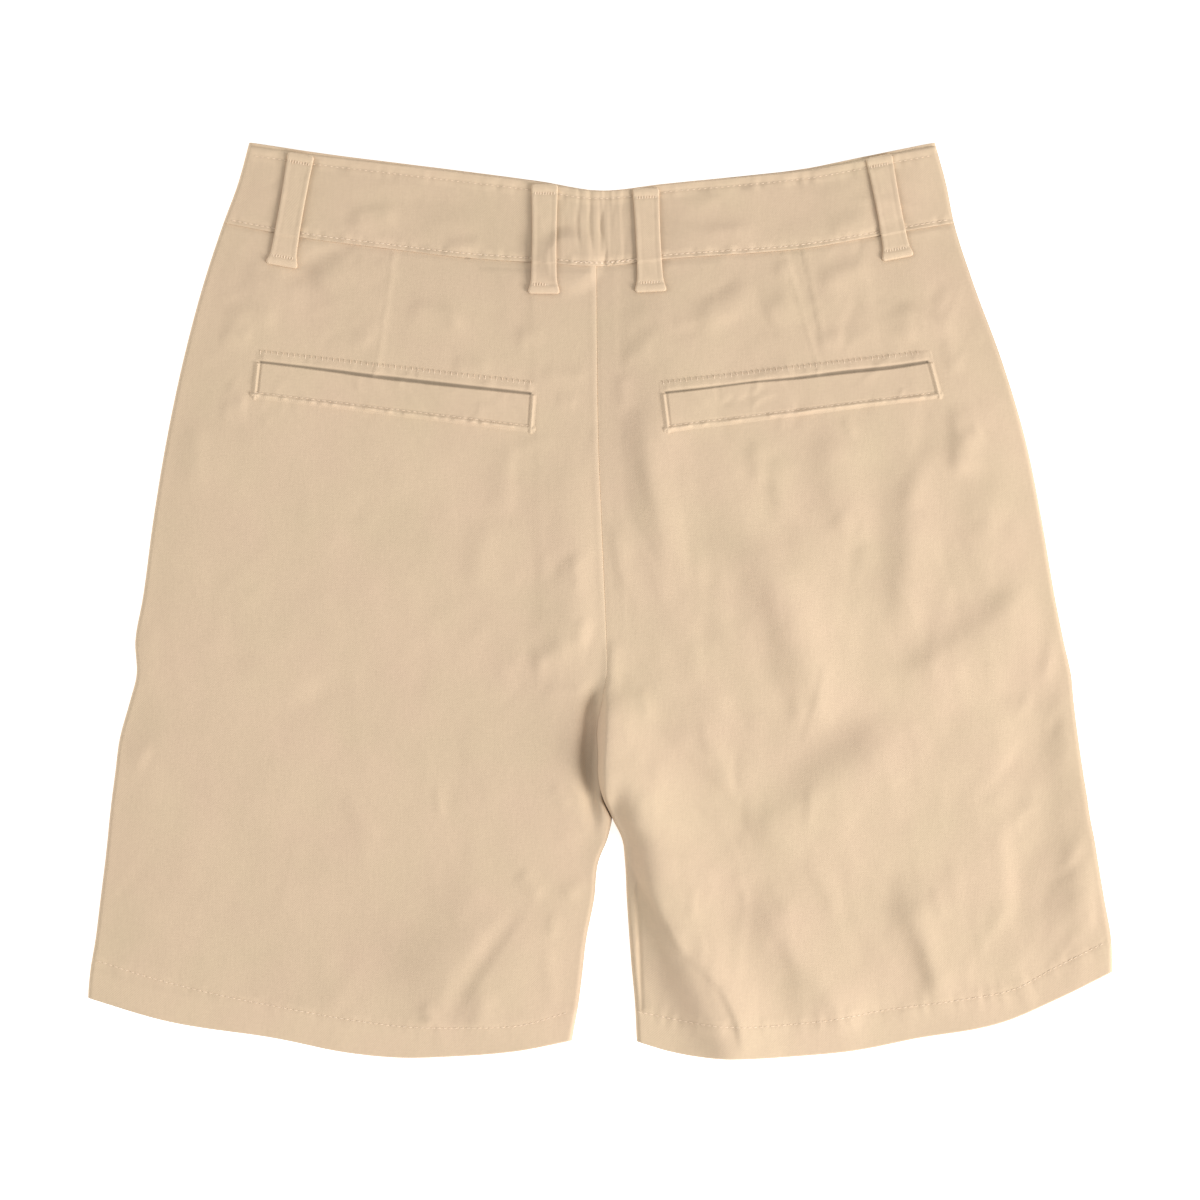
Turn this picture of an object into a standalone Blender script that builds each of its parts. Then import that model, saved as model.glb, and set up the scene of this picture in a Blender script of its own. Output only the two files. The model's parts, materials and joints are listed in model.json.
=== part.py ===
"""Bermuda shorts in cotton twill, laid flat on their front with the back side up.

The waist points to +Y and the table is the XY plane. The front panels rest on it and the back
panels lie on them. The wearer's left leg is at -X. Sizes are in millimetres, and MM turns each
finished mesh into metres.
"""

from collections import namedtuple

import bmesh
import bpy
import numpy as np

MM = 0.001

# Walls and gaps
CLOTH = 1.2  # one layer of twill
HEM_WALL = 2.2  # the turned-up hem, two layers pressed together
BAND_WALL = 1.6  # interlined waistband
LOOP_WALL = 1.3
WELT_WALL = 1.2
FLY_WALL = 1.0
SEAM_GAP = 0.3  # between pieces that meet at a seam
LAY_GAP = 0.3  # between a piece and the cloth it lies on
HEM_DEPTH = 16.6  # of the turned-up hem, from the leg's lower edge up

# Heights above the table
EDGE_HEIGHT = 5.6  # both layers where the cloth turns round at a side seam
TURN_GAP = 0.4  # between back and front at a side seam and an inseam
BACK_SEAM_HEIGHT = (EDGE_HEIGHT + TURN_GAP) / 2
FRONT_SEAM_HEIGHT = (EDGE_HEIGHT - TURN_GAP) / 2
CROWN = 0.6  # how much the middle of a leg stands above its edges
CROWN_REACH = 14.0  # distance from an edge over which it gets there
FOLD_REACH = 9.0  # distance from an edge within which folds die out
LOOP_MARGIN = 6.0  # cloth lies flat this far round a front loop that lifts it
LOOP_FADE = 14.0  # and comes down to the table over this length
BUTTON_MARGIN = 2.0  # the same round the waist button
BUTTON_FADE = 9.0
FLOOR_HEIGHT = 3.05  # lowest outer height of the back over a plain front
CLOSURE_RISE = 3.5  # and how much higher that is over the fly and the lapped waistband
HEM_RISE = 2.2  # the same over the turned-up hems
BAND_PROUD = 0.5  # the waistband stands this far above the panel
ROLL = 2.65  # radius of the turn at a side seam
SEAM_DIP = 0.3  # how far the cloth sinks into the centre seam

# Colours and finishes
TWILL_COLOUR = (0.72, 0.55, 0.38)
TWILL_ROUGHNESS = 0.9
HORN_COLOUR = (0.35, 0.22, 0.12)
HORN_ROUGHNESS = 0.35

# Rows and columns of points: rows run across, columns run up
HEM_ROWS = 3  # rows in the turned-up hem
CROTCH_ROWS = (-20.0, -8.0, 0.0, 8.0, 18.0, 30.0, 42.0, 54.0, 66.0, 78.0)  # above the crotch
CROTCH_CLEAR = 6.0  # with no other row nearer to them than this
LOOP_ROWS = 13
LOOP_COLUMNS = 4
FLY_ROWS = 9
FLY_COLUMNS = 4
WELT_ROWS = 4
WELT_COLUMNS = 31
BACK_BAND_ROWS = np.array([0.0, 0.05, 0.3, 0.6, 0.92, 1.0])
FRONT_BAND_ROWS = np.array([0.0, 0.05, 0.15, 0.3, 0.5, 0.7, 0.85, 0.95, 1.0])
# X of the columns between the two ends of each front waistband
LEFT_BAND_X = (-7, -16, -25, -31, -38, -58, -84, -98, -112, -126, -150, -172)
RIGHT_BAND_X = (-29, -25, -16, -7, -4.65, -2, 4, 14, 40, 68, 84, 98, 112, 126, 148, 168)
# Shares of the way across a front leg, crowded where a belt loop lifts it
FRONT_COLUMNS = np.array([0.02, 0.07, 0.16, 0.28, 0.4, 0.46, 0.52, 0.58, 0.64, 0.76, 0.88])

# Places along Y
HEM_LEVEL = -229.5  # a leg's lower edge at its inner corner
TOP_OF_LEG = 173.0  # the waist seam at the centre back
CROTCH_Y = -114.4
CROTCH_BLEND = 26.0  # above the crotch the turned inner edges flatten over this length
FLY_BASE_Y = 4.0
FLY_TOP_Y = 150.0
FRONT_DROP = 18.0  # the front waist lies this far below the back waist at the centre
FRONT_HEM_LIFT = 1.0  # the front hems lie this far up inside the back hems

CENTRE_FRONT_X = -2.0  # the centre-front line at the waist

# Fly and fastening, measured across from the centre-front line
FLY_EXTENSION = 8.0  # the right front reaches this far under the left one
LAP_START = 4.0  # the right front starts to sink to the table here
LAP_END = 16.0  # and lies on it from here on
LAP_SLACK = 0.2  # extra room between lapped layers
FLY_TOP_CLEAR = 12.0  # the zip and the shield end this far below the waistband
ZIP_WIDTH = 14.0
SHIELD_INNER = 6.0  # the shield's edges, on each side of the line
SHIELD_OUTER = 28.0
BAND_LAP = 32.0  # the right waistband reaches this far under the left one
BUTTON_OFFSET = 14.0
BUTTON_RADIUS = 8.5
BUTTON_DEPTH = 2.2
BUTTON_HOLE_RADIUS = 0.9
BUTTON_HOLE_OFFSET = 1.9
BUTTON_LIFT = BUTTON_DEPTH + LAY_GAP

# Belt loops
LOOP_WIDTH = 14.0
LOOP_GAP = 0.75  # between a belt loop's sewn ends and the uneven cloth under them
LOOP_LIFT = LOOP_WALL + LAY_GAP + 0.2  # room for a front loop under the cloth it lifts
LOOP_ARCH = 1.2  # how far a back loop's middle stands above its ends

# Where the outline runs at each height: the side seams, and the inner edges of the legs,
# which are one centre-back seam above the crotch.
Section = namedtuple("Section", "y left_side left_inner right_inner right_side")
SECTIONS = (
    Section(-229.5, -267.2, -14.5, 19.0, 268.0),
    Section(-208.0, -266.8, -10.7, 17.9, 267.6),
    Section(-193.4, -265.6, -8.9, 16.5, 267.0),
    Section(-177.0, -262.9, -7.0, 15.2, 266.4),
    Section(-156.0, -260.3, -2.9, 13.8, 262.8),
    Section(-135.0, -257.7, -0.3, 12.7, 259.3),
    Section(-124.8, -256.6, 3.9, 11.4, 257.7),
    Section(-114.4, -255.6, 6.5, 6.5, 255.6),
    Section(-103.0, -254.3, 0.5, 0.5, 253.9),
    Section(-90.0, -252.6, -4.5, -4.5, 251.8),
    Section(-73.0, -250.4, -5.5, -5.5, 249.3),
    Section(-52.0, -244.7, 1.0, 1.0, 246.7),
    Section(-40.0, -241.6, 3.4, 3.4, 245.6),
    Section(-21.0, -242.1, 3.4, 3.4, 241.5),
    Section(0.0, -238.4, 2.6, 2.6, 237.3),
    Section(42.0, -232.7, 0.8, 0.8, 230.1),
    Section(83.0, -225.9, -0.8, -0.8, 221.8),
    Section(125.0, -217.1, -1.4, -1.4, 209.3),
    Section(166.0, -206.2, -1.7, -1.7, 194.2),
    Section(196.0, -196.3, -1.8, -1.8, 184.6),
    Section(217.0, -188.6, -1.8, -1.8, 180.3),
    Section(238.2, -182.8, -1.8, -1.8, 174.5),
)

# Lower edge of each leg, from left to right
HemPoint = namedtuple("HemPoint", "x y")
LEFT_HEM = (
    HemPoint(-267.0, -207.0),
    HemPoint(-228.5, -218.4),
    HemPoint(-164.6, -228.8),
    HemPoint(-134.9, -235.0),
    HemPoint(-103.7, -238.2),
    HemPoint(-77.7, -237.6),
    HemPoint(-41.3, -234.5),
    HemPoint(-14.5, -229.3),
)
RIGHT_HEM = (
    HemPoint(19.0, -229.8),
    HemPoint(36.7, -235.0),
    HemPoint(54.9, -237.9),
    HemPoint(75.0, -238.2),
    HemPoint(95.4, -237.6),
    HemPoint(135.5, -234.0),
    HemPoint(161.5, -228.8),
    HemPoint(213.5, -218.4),
    HemPoint(237.4, -208.0),
    HemPoint(267.0, -193.4),
)

# Height of the back waist seam and of the waistband's top edge, across from the left side (0)
# to the right side (1)
WaistPoint = namedtuple("WaistPoint", "across seam top")
WAIST = (
    WaistPoint(0.000, 196.0, 238.2),
    WaistPoint(0.110, 188.2, 232.2),
    WaistPoint(0.225, 182.5, 227.0),
    WaistPoint(0.336, 177.6, 222.0),
    WaistPoint(0.423, 175.4, 217.8),
    WaistPoint(0.511, 173.2, 213.0),
    WaistPoint(0.603, 177.0, 216.4),
    WaistPoint(0.729, 180.4, 220.9),
    WaistPoint(0.790, 182.4, 223.3),
    WaistPoint(0.899, 189.4, 230.8),
    WaistPoint(1.000, 196.0, 238.2),
)

# Folds of the back cloth, each from start to end. A fold bows to its left by bow, falls away
# over the widths left and right, and is a ridge, or a trough where height is negative.
Fold = namedtuple("Fold", "x0 y0 x1 y1 bow left right height")
FOLDS = (
    # right leg, from the crotch out to the side seam
    Fold(2, -62, 92, -275, -11, 26, 12, 8.5),
    Fold(4, -36, 7, -128, -3, 22, 4, 6.5),
    Fold(-1, -36, 4, -128, -7, 6, 5, -4.5),
    Fold(18, 112, 38, 0, 1, 14, 8, 2.0),
    Fold(27, 190, 24, 0, 0, 22, 16, 1.3),
    Fold(28, -60, 84, -114, 0, 16, 6, 1.6),
    Fold(54, 86, 74, 4, 0, 13, 14, 1.5),
    Fold(72, -148, 142, -232, -4, 24, 14, 2.4),
    Fold(72, 40, 122, -72, 3, 28, 14, 3.0),
    Fold(66, -128, 168, -60, -6, 14, 26, 2.6),
    Fold(120, 92, 127, 28, 0, 16, 9, 1.6),
    Fold(150, -142, 184, -218, 2, 20, 8, 1.8),
    Fold(150, -46, 228, 6, -2, 10, 22, 2.2),
    Fold(164, 88, 158, -30, 0, 16, 10, 1.8),
    Fold(184, 104, 187, 60, 0, 12, 5, 1.5),
    Fold(228, -36, 226, -188, -4, 20, 14, -2.2),
    # left leg, from the crotch out to the side seam
    Fold(-15, 92, -17, -48, 0, 12, 12, 1.6),
    Fold(-30, -156, -74, -224, -2, 20, 6, 2.0),
    Fold(-40, -150, -92, -222, -5, 9, 20, 2.4),
    Fold(-170, 163, -126, 185, 0, 6, 6, -1.6),
    Fold(-250, -60, -160, -132, 0, 16, 7, 0.6),
)
FOLD_FADE = 0.3  # share of a fold's length over which each end dies out

# Elastic gathers of the back waistband: where each valley runs and how deep it is
Gather = namedtuple("Gather", "x depth")
GATHERS = (
    Gather(-16.5, 0.5),
    Gather(-11.2, 0.9),
    Gather(-4.9, 1.0),
    Gather(1.8, 1.2),
    Gather(7.0, 1.0),
    Gather(11.7, 0.9),
    Gather(16.5, 0.5),
)
GATHER_WIDTH = 2.0

# Belt loops on the back, from the waistband's top edge down over the waist seam
Loop = namedtuple("Loop", "name top_x top_y end_x end_y")
BACK_LOOPS = (
    Loop("back_loop_outer_left", -155.2, 232.0, -165.6, 173.4),
    Loop("back_loop_inner_left", -28.7, 216.2, -29.2, 159.0),
    Loop("back_loop_inner_right", 23.8, 214.2, 26.4, 160.0),
    Loop("back_loop_outer_right", 144.8, 230.8, 155.0, 177.4),
)
FRONT_LOOPS = (
    Loop("front_loop_left", -108.0, 214.0, -111.0, 160.0),
    Loop("front_loop_right", 100.0, 210.0, 103.0, 156.0),
)

# Corners of each pocket welt: along its upper edge, then along its lower edge
Welt = namedtuple("Welt", "name x0 y0 x1 y1 low_x0 low_y0 low_x1 low_y1")
WELTS = (
    Welt("pocket_welt_left", -178.6, 124.4, -33.8, 107.6, -180.6, 105.8, -35.2, 88.0),
    Welt("pocket_welt_right", 32.0, 107.6, 172.4, 124.4, 34.4, 88.0, 177.2, 106.0),
)

# A turned edge, from the seam inwards: run is the share of ROLL covered, rise the share of the
# height reached. A flat seam has the same stations with no turn.
EdgeStep = namedtuple("EdgeStep", "run rise flat_run")
EDGE_STEPS = (
    EdgeStep(0.00, 0.00, 0.00),
    EdgeStep(0.00, 0.13, 0.15),
    EdgeStep(0.12, 0.54, 0.40),
    EdgeStep(0.45, 0.86, 0.70),
    EdgeStep(1.00, 1.00, 1.00),
)


def column(table, name):
    """One named column of a table, as an array."""
    return np.array([getattr(row, name) for row in table], float)


def smooth_curve(keys, values):
    """A cubic function of one variable through the given points."""
    slopes = np.gradient(values, keys)

    def at(key):
        key = np.clip(key, keys[0], keys[-1])
        low = np.clip(np.searchsorted(keys, key, side="right") - 1, 0, len(keys) - 2)
        step = keys[low + 1] - keys[low]
        t = (key - keys[low]) / step
        ease = t * t * (3 - 2 * t)
        rise = step * (t - 2 * t * t + t ** 3) * slopes[low]
        fall = step * (t ** 3 - t * t) * slopes[low + 1]
        return (1 - ease) * values[low] + ease * values[low + 1] + rise + fall

    return at


def ease_step(value, start, end):
    """0 before start, 1 after end, and a smooth rise between them."""
    t = np.clip((value - start) / (end - start), 0, 1)
    return t * t * (3 - 2 * t)


def smooth_max(first, second, blend=0.6):
    """The larger of two heights, with a rounded change from one to the other."""
    return (first + second + np.sqrt((first - second) ** 2 + blend ** 2)) / 2


LEFT_SIDE = smooth_curve(column(SECTIONS, "y"), column(SECTIONS, "left_side"))
RIGHT_SIDE = smooth_curve(column(SECTIONS, "y"), column(SECTIONS, "right_side"))
SEAM_LINE = smooth_curve(column(WAIST, "across"), column(WAIST, "seam"))
TOP_LINE = smooth_curve(column(WAIST, "across"), column(WAIST, "top"))
LEFT_HEM_LINE = smooth_curve(column(LEFT_HEM, "x"), column(LEFT_HEM, "y"))
RIGHT_HEM_LINE = smooth_curve(column(RIGHT_HEM, "x"), column(RIGHT_HEM, "y"))


def inseam(name, y):
    """X of one leg's inner edge below the crotch."""
    rows = [row for row in SECTIONS if row.y <= CROTCH_Y]
    return smooth_curve(column(rows, "y"), column(rows, name))(y)


def centre_back(y):
    """X of the centre-back seam, which sinks into the deep fold above the crotch."""
    rows = [row for row in SECTIONS if row.y >= CROTCH_Y]
    return smooth_curve(column(rows, "y"), column(rows, "left_inner"))(y)


def centre_front(y):
    """X of the straight centre-front line."""
    share = np.clip((y - CROTCH_Y) / (FLY_TOP_Y - CROTCH_Y), 0, 1)
    return inseam("left_inner", CROTCH_Y) * (1 - share) + CENTRE_FRONT_X * share


def waist_share(x):
    """How far across the waist seam X is, from 0 at the left side to 1 at the right."""
    left = LEFT_SIDE(SEAM_LINE(0.0))
    right = RIGHT_SIDE(SEAM_LINE(1.0))
    return (x - left) / (right - left)


def front_drop(across):
    """How far the front waist lies below the back waist."""
    return FRONT_DROP * (1 - (2 * across - 1) ** 2)


def turned(y):
    """1 where the legs are apart and their inner edges turn round, 0 at the flat centre seam."""
    return 1 - ease_step(y, CROTCH_Y, CROTCH_Y + CROTCH_BLEND)


def edge_fade(x, y, reach):
    """0 at the garment's turned edges, rising to 1 over the distance reach."""
    outer = np.minimum(x - LEFT_SIDE(y), RIGHT_SIDE(y) - x)
    inner = np.where(x < centre_back(y), inseam("left_inner", y) - x, x - inseam("right_inner", y))
    beside_side = np.exp(-(np.maximum(outer, 0) / reach) ** 2)
    beside_inner = np.exp(-(np.maximum(inner, 0) / reach) ** 2) * turned(y)
    return (1 - beside_side) * (1 - beside_inner)


def fold_relief(fold, x, y):
    """Height that one fold adds at a point."""
    run = np.hypot(fold.x1 - fold.x0, fold.y1 - fold.y0)
    along_x = (fold.x1 - fold.x0) / run
    along_y = (fold.y1 - fold.y0) / run
    along = ((x - fold.x0) * along_x + (y - fold.y0) * along_y) / run
    aside = (y - fold.y0) * along_x - (x - fold.x0) * along_y
    aside = aside - fold.bow * 4 * along * (1 - along)
    width = np.where(aside > 0, fold.left, fold.right)
    ends = ease_step(along, 0, FOLD_FADE) * ease_step(1 - along, 0, FOLD_FADE)
    return fold.height * ends * np.exp(-(aside / width) ** 2)


def button_bump(x, y):
    """1 over the waist button, fading to 0 around it."""
    centre_x, centre_y = button_place()
    beyond = np.hypot(x - centre_x, y - centre_y) - BUTTON_RADIUS
    return 1 - ease_step(beyond, BUTTON_MARGIN, BUTTON_MARGIN + BUTTON_FADE)


def loop_bump(x, y):
    """1 over the two front belt loops, fading to 0 around them."""
    total = 0
    for loop in FRONT_LOOPS:
        beside = np.abs(x - (loop.top_x + loop.end_x) / 2) - LOOP_WIDTH / 2
        beyond = np.maximum(y - loop.top_y, loop.end_y - y)
        across = 1 - ease_step(beside, LOOP_MARGIN, LOOP_MARGIN + LOOP_FADE)
        total = total + across * (1 - ease_step(beyond, LOOP_MARGIN, LOOP_MARGIN + LOOP_FADE))
    return total


def button_place():
    """Centre of the waist button, in the middle of the front waistband's height."""
    x = centre_front(FLY_TOP_Y) - BUTTON_OFFSET
    across = waist_share(x)
    y = (SEAM_LINE(across) + TOP_LINE(across)) / 2 - front_drop(across)
    return x, y


def front_height(x, y):
    """Height of the front's outer face above the table, over what is sewn on it."""
    return BUTTON_LIFT * button_bump(x, y) + LOOP_LIFT * loop_bump(x, y)


def lap_share(x, y):
    """1 where the right front passes under the left one, 0 where it lies on the table."""
    lap_x = 1 - ease_step(x - centre_front(y), LAP_START, LAP_END)
    lap_y = ease_step(y, FLY_BASE_Y - 50, FLY_BASE_Y - 18)
    return lap_x * lap_y


def closure_share(x, y):
    """1 over the layers of the fly and the lapped waistband, fading to 0 around them."""
    aside = x - centre_front(y)
    over_x = ease_step(aside, -BAND_LAP - 12, -BAND_LAP) * (1 - ease_step(aside, 9, 20))
    return over_x * ease_step(y, FLY_BASE_Y - 50, FLY_BASE_Y - 18)


def hem_share(x, y):
    """1 in the turned-up hem, fading to 0 above it."""
    hem = np.where(x < centre_back(CROTCH_Y), LEFT_HEM_LINE(x), RIGHT_HEM_LINE(x))
    return 1 - ease_step(y - hem, HEM_DEPTH, HEM_DEPTH + 8)


def back_height(x, y):
    """Outer height of the back cloth above the table."""
    rest = EDGE_HEIGHT + CROWN * edge_fade(x, y, CROWN_REACH)
    relief = sum(fold_relief(fold, x, y) for fold in FOLDS)
    under = FLOOR_HEIGHT + CLOSURE_RISE * closure_share(x, y) + BUTTON_LIFT * button_bump(x, y)
    under = under + LOOP_LIFT * loop_bump(x, y) + HEM_RISE * hem_share(x, y)
    return smooth_max(rest + relief * edge_fade(x, y, FOLD_REACH), under)


def gather_relief(x):
    """Height of the gathered waistband, with a valley at each gather."""
    return -sum(g.depth * np.exp(-np.abs(x - g.x) / GATHER_WIDTH) for g in GATHERS)


def band_height(x, y):
    """Outer height of the back waistband."""
    return back_height(x, y) + BAND_PROUD + gather_relief(x)


def top_height(x, y):
    """Height of the topmost cloth under a belt loop, on the waistband or below it."""
    on_band = y > SEAM_LINE(waist_share(x))
    return np.where(on_band, band_height(x, y), back_height(x, y))


def edge_columns(width, inner_turn, interior):
    """Distances across each row from its inner edge, with the stations of both turned edges."""
    run = column(EDGE_STEPS, "run")
    flat_run = column(EDGE_STEPS, "flat_run")
    inner_run = ROLL * (inner_turn * run + (1 - inner_turn) * flat_run)
    middle = ROLL + (width - 2 * ROLL) * interior
    outer_run = width - ROLL * run[::-1]
    return np.hstack([inner_run, middle, outer_run])


def turn_heights(height, seam_height, inner_turn, dip):
    """Bend both edges of a sheet from its own height to the height of the seam there."""
    rise = column(EDGE_STEPS, "rise")
    flat_run = column(EDGE_STEPS, "flat_run")
    count = len(EDGE_STEPS)
    start = height[:, count - 1:count]
    end = height[:, -count:-count + 1]
    round_inner = seam_height + (start - seam_height) * rise
    flat_inner = height[:, :count] - dip * (1 - flat_run) ** 2
    bent = height.copy()
    bent[:, :count] = inner_turn * round_inner + (1 - inner_turn) * flat_inner
    bent[:, -count:] = seam_height + (end - seam_height) * rise[::-1]
    return bent


# A sheet runs from its inner to its outer edge and from its bottom to its top line. inner and
# outer give X at a height Y, bottom and top give Y at a share of the way across, rows and
# interior are shares up and across, and turn says where the inner edge turns round.
Sheet = namedtuple("Sheet", "inner outer bottom top rows interior turn dip")


def sheet_points(sheet, height, seam_height):
    """Grid of points on a sheet's outer face, with X rising along each row."""
    rows = sheet.rows[:, None]
    inner_y = sheet.bottom(0.0) + rows * (sheet.top(0.0) - sheet.bottom(0.0))
    outer_y = sheet.bottom(1.0) + rows * (sheet.top(1.0) - sheet.bottom(1.0))
    inner_x = sheet.inner(inner_y)
    outer_x = sheet.outer(outer_y)
    width = np.abs(outer_x - inner_x)
    turn = sheet.turn(inner_y)
    share = edge_columns(width, turn, sheet.interior) / width
    x = inner_x + (outer_x - inner_x) * share
    y = (1 - rows) * sheet.bottom(share) + rows * sheet.top(share)
    z = turn_heights(height(x, y), seam_height, turn, sheet.dip)
    points = np.dstack([x, y, z])
    return points if x[0, -1] > x[0, 0] else points[:, ::-1]


def even_shares(count, crowding=1.0):
    """Shares of the way across, without both ends, closer together at the inner edge."""
    return np.linspace(0, 1, count + 1)[1:-1] ** crowding


def leg_rows(count, crowding):
    """Shares of a leg's length from the hem up, close together at the hem and the crotch."""
    hem_top = HEM_LEVEL + HEM_DEPTH
    hem = [HEM_LEVEL, (HEM_LEVEL + hem_top) / 2, hem_top, hem_top + 0.6]
    crotch = CROTCH_Y + np.array(CROTCH_ROWS)
    even = np.linspace(0, 1, count) ** crowding
    body = hem_top + 8 + (TOP_OF_LEG - 2 - hem_top - 8) * even
    body = [y for y in body if np.abs(crotch - y).min() > CROTCH_CLEAR]
    levels = np.sort(np.concatenate([hem, crotch, body, [TOP_OF_LEG]]))
    return (levels - HEM_LEVEL) / (TOP_OF_LEG - HEM_LEVEL)


def leg_sheet(side, centre, seam_x, drop, hem_lift, rows, interior, dip):
    """One leg panel. side is -1 for the left leg and 1 for the right."""
    name = "left_inner" if side < 0 else "right_inner"
    hem_line = LEFT_HEM_LINE if side < 0 else RIGHT_HEM_LINE
    hem = LEFT_HEM[::-1] if side < 0 else RIGHT_HEM
    outer = LEFT_SIDE if side < 0 else RIGHT_SIDE
    outer_top = outer(SEAM_LINE(0.0))

    def inner(y):
        return np.where(y < CROTCH_Y, inseam(name, y), centre(y)) + side * SEAM_GAP / 2

    def bottom(share):
        return hem_line(hem[0].x + (hem[-1].x - hem[0].x) * share) + hem_lift

    def top(share):
        across = waist_share(seam_x + (outer_top - seam_x) * share)
        return SEAM_LINE(across) - drop * front_drop(across) - SEAM_GAP / 2

    return Sheet(inner, outer, bottom, top, rows, interior, turned, dip)


def band_sheet(inner, outer, start, end, drop, rows, interior, turn):
    """A stretch of the waistband between two shares of the way across."""

    def bottom(share):
        across = start + (end - start) * share
        return SEAM_LINE(across) - drop * front_drop(across) + SEAM_GAP / 2

    def top(share):
        across = start + (end - start) * share
        return TOP_LINE(across) - drop * front_drop(across)

    return Sheet(inner, outer, bottom, top, rows, interior, turn, 0.0)


def make_collection(name):
    """A new collection in the scene."""
    collection = bpy.data.collections.new(name)
    bpy.context.scene.collection.children.link(collection)
    return collection


def make_material(name, colour, roughness, metallic=0.0):
    """A Principled material."""
    material = bpy.data.materials.new(name)
    material.use_nodes = True
    shader = material.node_tree.nodes["Principled BSDF"]
    shader.inputs["Base Color"].default_value = (*colour, 1.0)
    shader.inputs["Roughness"].default_value = roughness
    shader.inputs["Metallic"].default_value = metallic
    return material


def cloth_object(name, points, wall, collection, faces_down=False, thick_rows=0):
    """A cloth wall whose outer face runs through a grid of points."""
    rows, columns = points.shape[:2]
    grid = bmesh.new()
    bmesh.ops.create_grid(grid, x_segments=columns - 1, y_segments=rows - 1, size=1.0)
    for vert, point in zip(grid.verts, points.reshape(-1, 3)):
        vert.co = point * MM
    if faces_down:
        bmesh.ops.reverse_faces(grid, faces=grid.faces)
    mesh = bpy.data.meshes.new(name)
    grid.to_mesh(mesh)
    grid.free()
    mesh.shade_smooth()
    cloth = bpy.data.objects.new(name, mesh)
    collection.objects.link(cloth)
    cloth.data.materials.append(make_material(name, TWILL_COLOUR, TWILL_ROUGHNESS))
    solid = cloth.modifiers.new("Wall", "SOLIDIFY")
    solid.thickness = wall * MM
    solid.offset = -1.0
    solid.use_even_offset = True
    if thick_rows:
        hem = cloth.vertex_groups.new(name="hem")
        hem.add(list(range(thick_rows * columns)), 1.0, "REPLACE")
        solid.vertex_group = hem.name
        solid.thickness = HEM_WALL * MM
        solid.thickness_vertex_group = wall / HEM_WALL
    return cloth


def make_back_panels(collection):
    """The two back legs, meeting at the centre-back seam."""
    seam_x = centre_back(SEAM_LINE(0.5))
    for name, side, rows, interior in (
        ("back_panel_left", -1, leg_rows(20, 1.0), even_shares(15, 1.2)),
        ("back_panel_right", 1, leg_rows(30, 1.0), even_shares(24, 1.25)),
    ):
        sheet = leg_sheet(side, centre_back, seam_x + side * SEAM_GAP / 2, 0, 0, rows, interior,
                          SEAM_DIP)
        points = sheet_points(sheet, back_height, BACK_SEAM_HEIGHT)
        cloth_object(name, points, CLOTH, collection, thick_rows=HEM_ROWS)


def fly_edge(y):
    """X of the right front's inner edge: the seam, and the fly extension above the fly's base."""
    extension = FLY_EXTENSION * ease_step(y, FLY_BASE_Y, FLY_BASE_Y + 10)
    return centre_front(y) - extension


def lapped_height(wall):
    """Height of a right front piece, which passes under a left one of the same wall."""

    def height(x, y):
        return front_height(x, y) + (wall + LAY_GAP + LAP_SLACK) * lap_share(x, y)

    return height


def make_front_panels(collection):
    """The two front legs, which rest on the table, with the left one lapped over the fly."""
    seam_x = centre_front(FLY_TOP_Y)
    for name, side, centre, start, height in (
        ("front_panel_left", -1, centre_front, seam_x, front_height),
        ("front_panel_right", 1, fly_edge, seam_x - FLY_EXTENSION, lapped_height(CLOTH)),
    ):
        rows = leg_rows(11, 0.6)
        sheet = leg_sheet(side, centre, start, 1, FRONT_HEM_LIFT, rows, FRONT_COLUMNS, 0.0)
        points = sheet_points(sheet, height, FRONT_SEAM_HEIGHT)
        cloth_object(name, points, CLOTH, collection, faces_down=True, thick_rows=HEM_ROWS)


def gather_stations():
    """X of each gather's valley, and of two points on the crest between each two."""
    valleys = column(GATHERS, "x")
    steps = np.diff(valleys) / 3
    return np.concatenate([valleys, valleys[:-1] + steps, valleys[:-1] + 2 * steps])


def make_waistband(collection):
    """The back waistband, and the two front ones with the right end lapped under the left."""
    gathered = waist_share(gather_stations())
    plain_left = np.linspace(0.04, waist_share(-22.0), 12)
    plain_right = np.linspace(waist_share(22.0), 0.96, 12)
    interior = np.sort(np.concatenate([plain_left, gathered, plain_right]))
    back = band_sheet(LEFT_SIDE, RIGHT_SIDE, 0.0, 1.0, 0, BACK_BAND_ROWS, interior, np.ones_like)
    points = sheet_points(back, band_height, BACK_SEAM_HEIGHT)
    cloth_object("waistband_back", points, BAND_WALL, collection)

    centre_x = centre_front(FLY_TOP_Y)
    lap_x = centre_x - BAND_LAP
    for name, outer, start_x, end, stations, height in (
        ("waistband_front_left", LEFT_SIDE, centre_x, 0.0, LEFT_BAND_X, front_height),
        ("waistband_front_right", RIGHT_SIDE, lap_x, 1.0, RIGHT_BAND_X, lapped_height(BAND_WALL)),
    ):
        start = waist_share(start_x)
        interior = (waist_share(np.array(stations)) - start) / (end - start)
        front = band_sheet(fixed_edge(start_x), outer, start, end, 1, FRONT_BAND_ROWS, interior,
                           np.zeros_like)
        points = sheet_points(front, height, FRONT_SEAM_HEIGHT)
        cloth_object(name, points, BAND_WALL, collection, faces_down=True)


def fixed_edge(x):
    """An edge that stays at one X."""
    return lambda y: np.full_like(y, x)


def strip_points(low_start, low_end, high_start, high_end, rows, columns):
    """X and Y of a grid between four corners."""
    up = np.linspace(0, 1, rows)[:, None, None]
    across = np.linspace(0, 1, columns)[None, :, None]
    low = np.array(low_start) * (1 - across) + np.array(low_end) * across
    high = np.array(high_start) * (1 - across) + np.array(high_end) * across
    grid = low * (1 - up) + high * up
    return grid[..., 0], grid[..., 1]


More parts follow.
